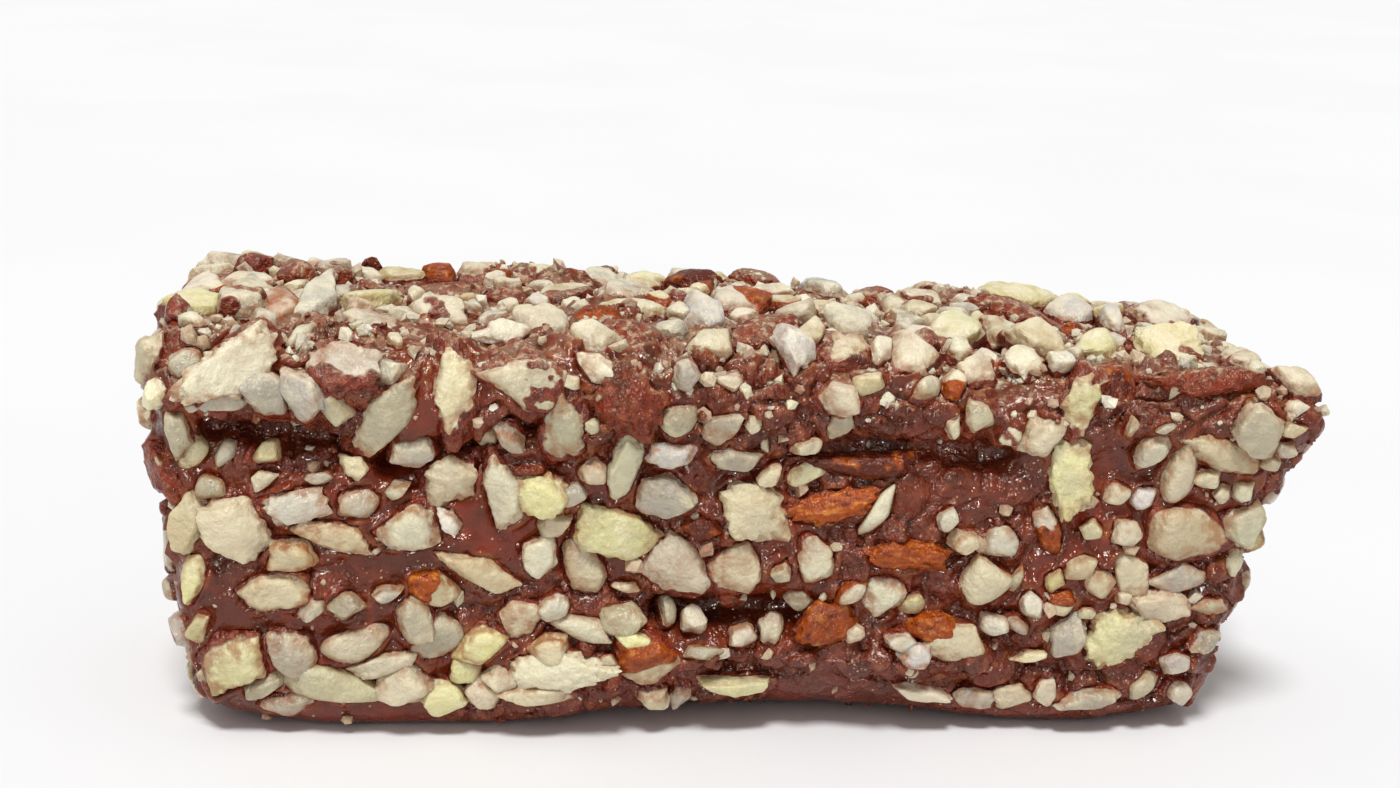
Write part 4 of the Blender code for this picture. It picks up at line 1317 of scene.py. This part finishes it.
def add_sun(name, strength, spread, turn):
    """A soft light from one side."""
    light = bpy.data.lights.new(name, "SUN")
    light.energy = strength
    light.angle = math.radians(spread)
    sun = placed(name, light)
    sun.rotation_euler = [math.radians(angle) for angle in turn]
    return sun


def add_even_light(strength):
    """White light from all round."""
    world = bpy.data.worlds.new("studio")
    bpy.context.scene.world = world
    world.use_nodes = True
    backdrop = world.node_tree.nodes["Background"]
    backdrop.inputs["Color"].default_value = WHITE
    backdrop.inputs["Strength"].default_value = strength


def add_camera(focal_length):
    """The scene's camera, turned toward its target."""
    lens = bpy.data.cameras.new("camera")
    lens.lens = focal_length
    lens.clip_start = CAMERA_NEAREST * MM
    camera = placed("camera", lens)
    yaw, pitch, roll = (math.radians(angle) for angle in CAMERA_TURN)
    toward = Vector((math.sin(yaw) * math.cos(pitch), math.cos(yaw) * math.cos(pitch), -math.sin(pitch)))
    right = toward.cross(TOP).normalized()
    above = right.cross(toward)
    sideways = right * math.cos(roll) + above * math.sin(roll)
    upward = above * math.cos(roll) - right * math.sin(roll)
    turned = Matrix((sideways, upward, -toward)).transposed().to_4x4()
    spot = (Vector(CAMERA_TARGET) - toward * CAMERA_DISTANCE) * MM
    camera.matrix_world = Matrix.Translation(spot) @ turned
    bpy.context.scene.camera = camera


# ---------------------------------------------------------------- the add-on


def colour(code, name, description):
    """A property for one colour, as its hexadecimal code shows it."""
    return FloatVectorProperty(
        name=name, description=description, subtype="COLOR", size=3, min=0, max=1, default=pigment(code)
    )


def how_strong(name, description, default):
    """A property for how strong a light is."""
    return FloatProperty(name=name, description=description, default=default, min=0)


def how_many(name, description, default):
    """A property for how many of a thing there are."""
    return IntProperty(name=name, description=description, default=default, min=1)


class ToffeeSettings(bpy.types.PropertyGroup):
    """The amounts, colours and lights that a user may change"""

    almond_crumbs: how_many("Almond crumbs", "Crumbs of almond on the coat", 3400)
    chocolate_crumbs: how_many("Chocolate crumbs", "Crumbs of chocolate on the coat", 1500)
    bright: colour("#E7DEBB", "Bright almond", "Fresh, torn almond flesh")
    cream: colour("#D5C8AA", "Cream almond", "Common almond flesh")
    yellow: colour("#DBD49D", "Yellow almond", "Oily almond flesh")
    beige: colour("#CBBA9A", "Beige almond", "Almond flesh rubbed with chocolate")
    white: colour("#D0C9B3", "White almond", "Pale, clouded almond flesh")
    grey: colour("#B6AC95", "Grey almond", "Moist almond flesh seen through a film")
    caramel: colour("#A05A34", "Caramel", "Toffee and stained flesh")
    skin: colour("#AA4A08", "Almond skin", "Outer skin of an almond")
    # Lighter skin on its ridges, partly its own streaks and partly a painted highlight.
    skin_streak_and_highlight: colour("#E89C44", "Almond skin, thin", "Outer skin on its ridges")
    # Darker skin: its own dark patches, and painted shade in its wrinkles.
    redskin: colour("#5A1C0A", "Dark almond skin", "Outer skin in its wrinkles")
    film: colour("#9E602C", "Chocolate film", "Flesh through a thin film of chocolate")
    chocolate: colour("#692412", "Chocolate", "Milk chocolate of the coat")
    chocolate_red: colour("#842A11", "Chocolate, thin", "Milk chocolate where it flowed thin")
    # Laid in random patches over the coat, not in its seams.
    chocolate_dark: colour("#4F200F", "Chocolate, deep", "Milk chocolate in the seams")
    chocolate_dusty: colour("#995032", "Chocolate, broken", "Milk chocolate where it broke")
    # Pale almond dust on the upward faces of the top, partly painted light there; also the tone of the pale
    # specks on the chocolate, partly painted glints.
    dust_and_sheen: colour("#D8BC98", "Almond dust", "Fine almond dust on the upward faces")
    # Almond meal on the crumbs, and on the almonds of the top, where it is partly painted light.
    meal_and_sheen: colour("#F6EBD2", "Almond meal", "Fresh almond meal on the almonds of the top")
    floor: colour("#EFEFF0", "Floor", "The stage's floor")
    stage_size: FloatProperty(
        name="Floor size", description="Side of the square floor", default=2.4, min=0.2, unit="LENGTH"
    )
    lens: FloatProperty(
        name="Lens", description="Focal length in millimetres", default=56.3, min=10, max=300, unit="CAMERA"
    )
    sun: how_strong("Key light", "Strength of the soft key light", 2.4)
    glint: how_strong("Glint light", "Strength of the light for the gloss", 1.6)
    fill: how_strong("Fill light", "Strength of the even light all round", 0.46)


class TOFFEE_OT_coat(bpy.types.Operator):
    """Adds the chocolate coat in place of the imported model"""

    bl_idname = "toffee.coat"
    bl_label = "Chocolate Coat"
    bl_options = {"REGISTER", "UNDO"}

    def execute(self, context):
        points, faces, looks = coat_surface()
        coat = show("chocolate_coat", points, faces, looks, chocolate_material())
        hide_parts(NODE)
        return {"FINISHED"}


class TOFFEE_OT_almonds(bpy.types.Operator):
    """Adds the chopped almonds, one piece for each kind"""

    bl_idname = "toffee.almonds"
    bl_label = "Chopped Almonds"
    bl_options = {"REGISTER", "UNDO"}

    def execute(self, context):
        for name, tones in GROUPS.items():
            almonds = [almond for almond in all_almonds() if almond.words[0] in tones]
            if not almonds:
                raise RuntimeError(f"no almond belongs to {name}")
            almonds_piece(almonds, name, almond_material(f"{name}_flesh", *FLESH.get(name, PLAIN_FLESH)))
        return {"FINISHED"}


class TOFFEE_OT_almond_crumbs(bpy.types.Operator):
    """Adds the crumbs of almond that cling to the coat, most of them in clusters on the top"""

    bl_idname = "toffee.almond_crumbs"
    bl_label = "Almond Crumbs"
    bl_options = {"REGISTER", "UNDO"}

    def execute(self, context):
        settings = context.scene.toffee
        brown = np.array(settings.chocolate_dusty)

        def favour(middles, normals, broken):
            clusters = ramp(-0.3, 0.4, waves(middles, CLUSTER_PITCH, 13.0)) + CLUSTER_LEAST
            top = np.maximum(normals[:, 2], 0) * (middles[:, 2] > TOP_LEVELS[0])
            return (SIDE_CRUMBS + top * TOP_CRUMBS) * clusters * (middles[:, 2] > 0.4)

        def tone(draw):
            plain = np.array(getattr(settings, draw.choice(CRUMB_TONES)))
            return plain + (brown - plain) * draw.uniform(0, CRUMB_BROWN)

        flesh = almond_material("almond_crumb_flesh", *PLAIN_FLESH)
        sprinkle("almond_crumbs", settings.almond_crumbs, *ALMOND_CRUMBS, favour, tone, flesh)
        return {"FINISHED"}


class TOFFEE_OT_chocolate_crumbs(bpy.types.Operator):
    """Adds the crumbs of chocolate, most of them where the coat broke"""

    bl_idname = "toffee.chocolate_crumbs"
    bl_label = "Chocolate Crumbs"
    bl_options = {"REGISTER", "UNDO"}

    def execute(self, context):
        settings = context.scene.toffee

        def favour(middles, normals, broken):
            return (0.1 + broken) * (middles[:, 2] > 0.3)

        def tone(draw):
            return settings.chocolate

        name = "chocolate_crumbs"
        sprinkle(name, settings.chocolate_crumbs, *CHOCOLATE_CRUMBS, favour, tone, chocolate_material())
        return {"FINISHED"}


class TOFFEE_OT_stage(bpy.types.Operator):
    """Adds the pale floor, the light and the camera"""

    bl_idname = "toffee.stage"
    bl_label = "Stage"
    bl_options = {"REGISTER", "UNDO"}

    def execute(self, context):
        settings = context.scene.toffee
        add_floor(settings)
        add_sun("key", settings.sun, KEY_SPREAD, KEY_TURN)
        glint = add_sun("glint", settings.glint, GLINT_SPREAD, GLINT_TURN)
        glint.visible_diffuse = False
        add_even_light(settings.fill)
        add_camera(settings.lens)
        context.scene.view_settings.view_transform = "Standard"
        return {"FINISHED"}


OPERATORS = (
    TOFFEE_OT_coat,
    TOFFEE_OT_almonds,
    TOFFEE_OT_almond_crumbs,
    TOFFEE_OT_chocolate_crumbs,
    TOFFEE_OT_stage,
)


class TOFFEE_PT_panel(bpy.types.Panel):
    """Lists the parts of the toffee and its settings"""

    bl_label = "Almond Toffee"
    bl_idname = "TOFFEE_PT_panel"
    bl_space_type = "VIEW_3D"
    bl_region_type = "UI"
    bl_category = "Toffee"

    def draw(self, context):
        for operator in OPERATORS:
            self.layout.operator(operator.bl_idname)
        for title in ToffeeSettings.__annotations__:
            self.layout.prop(context.scene.toffee, title)


CLASSES = (ToffeeSettings, *OPERATORS, TOFFEE_PT_panel)


def register():
    for entry in CLASSES:
        bpy.utils.register_class(entry)
    bpy.types.Scene.toffee = PointerProperty(type=ToffeeSettings)


def unregister():
    del bpy.types.Scene.toffee
    for entry in reversed(CLASSES):
        bpy.utils.unregister_class(entry)


def main():
    """Builds the whole scene."""
    register()
    bpy.ops.toffee.coat()
    bpy.ops.toffee.almonds()
    bpy.ops.toffee.almond_crumbs()
    bpy.ops.toffee.chocolate_crumbs()
    bpy.ops.toffee.stage()


if __name__ == "__main__":
    main()
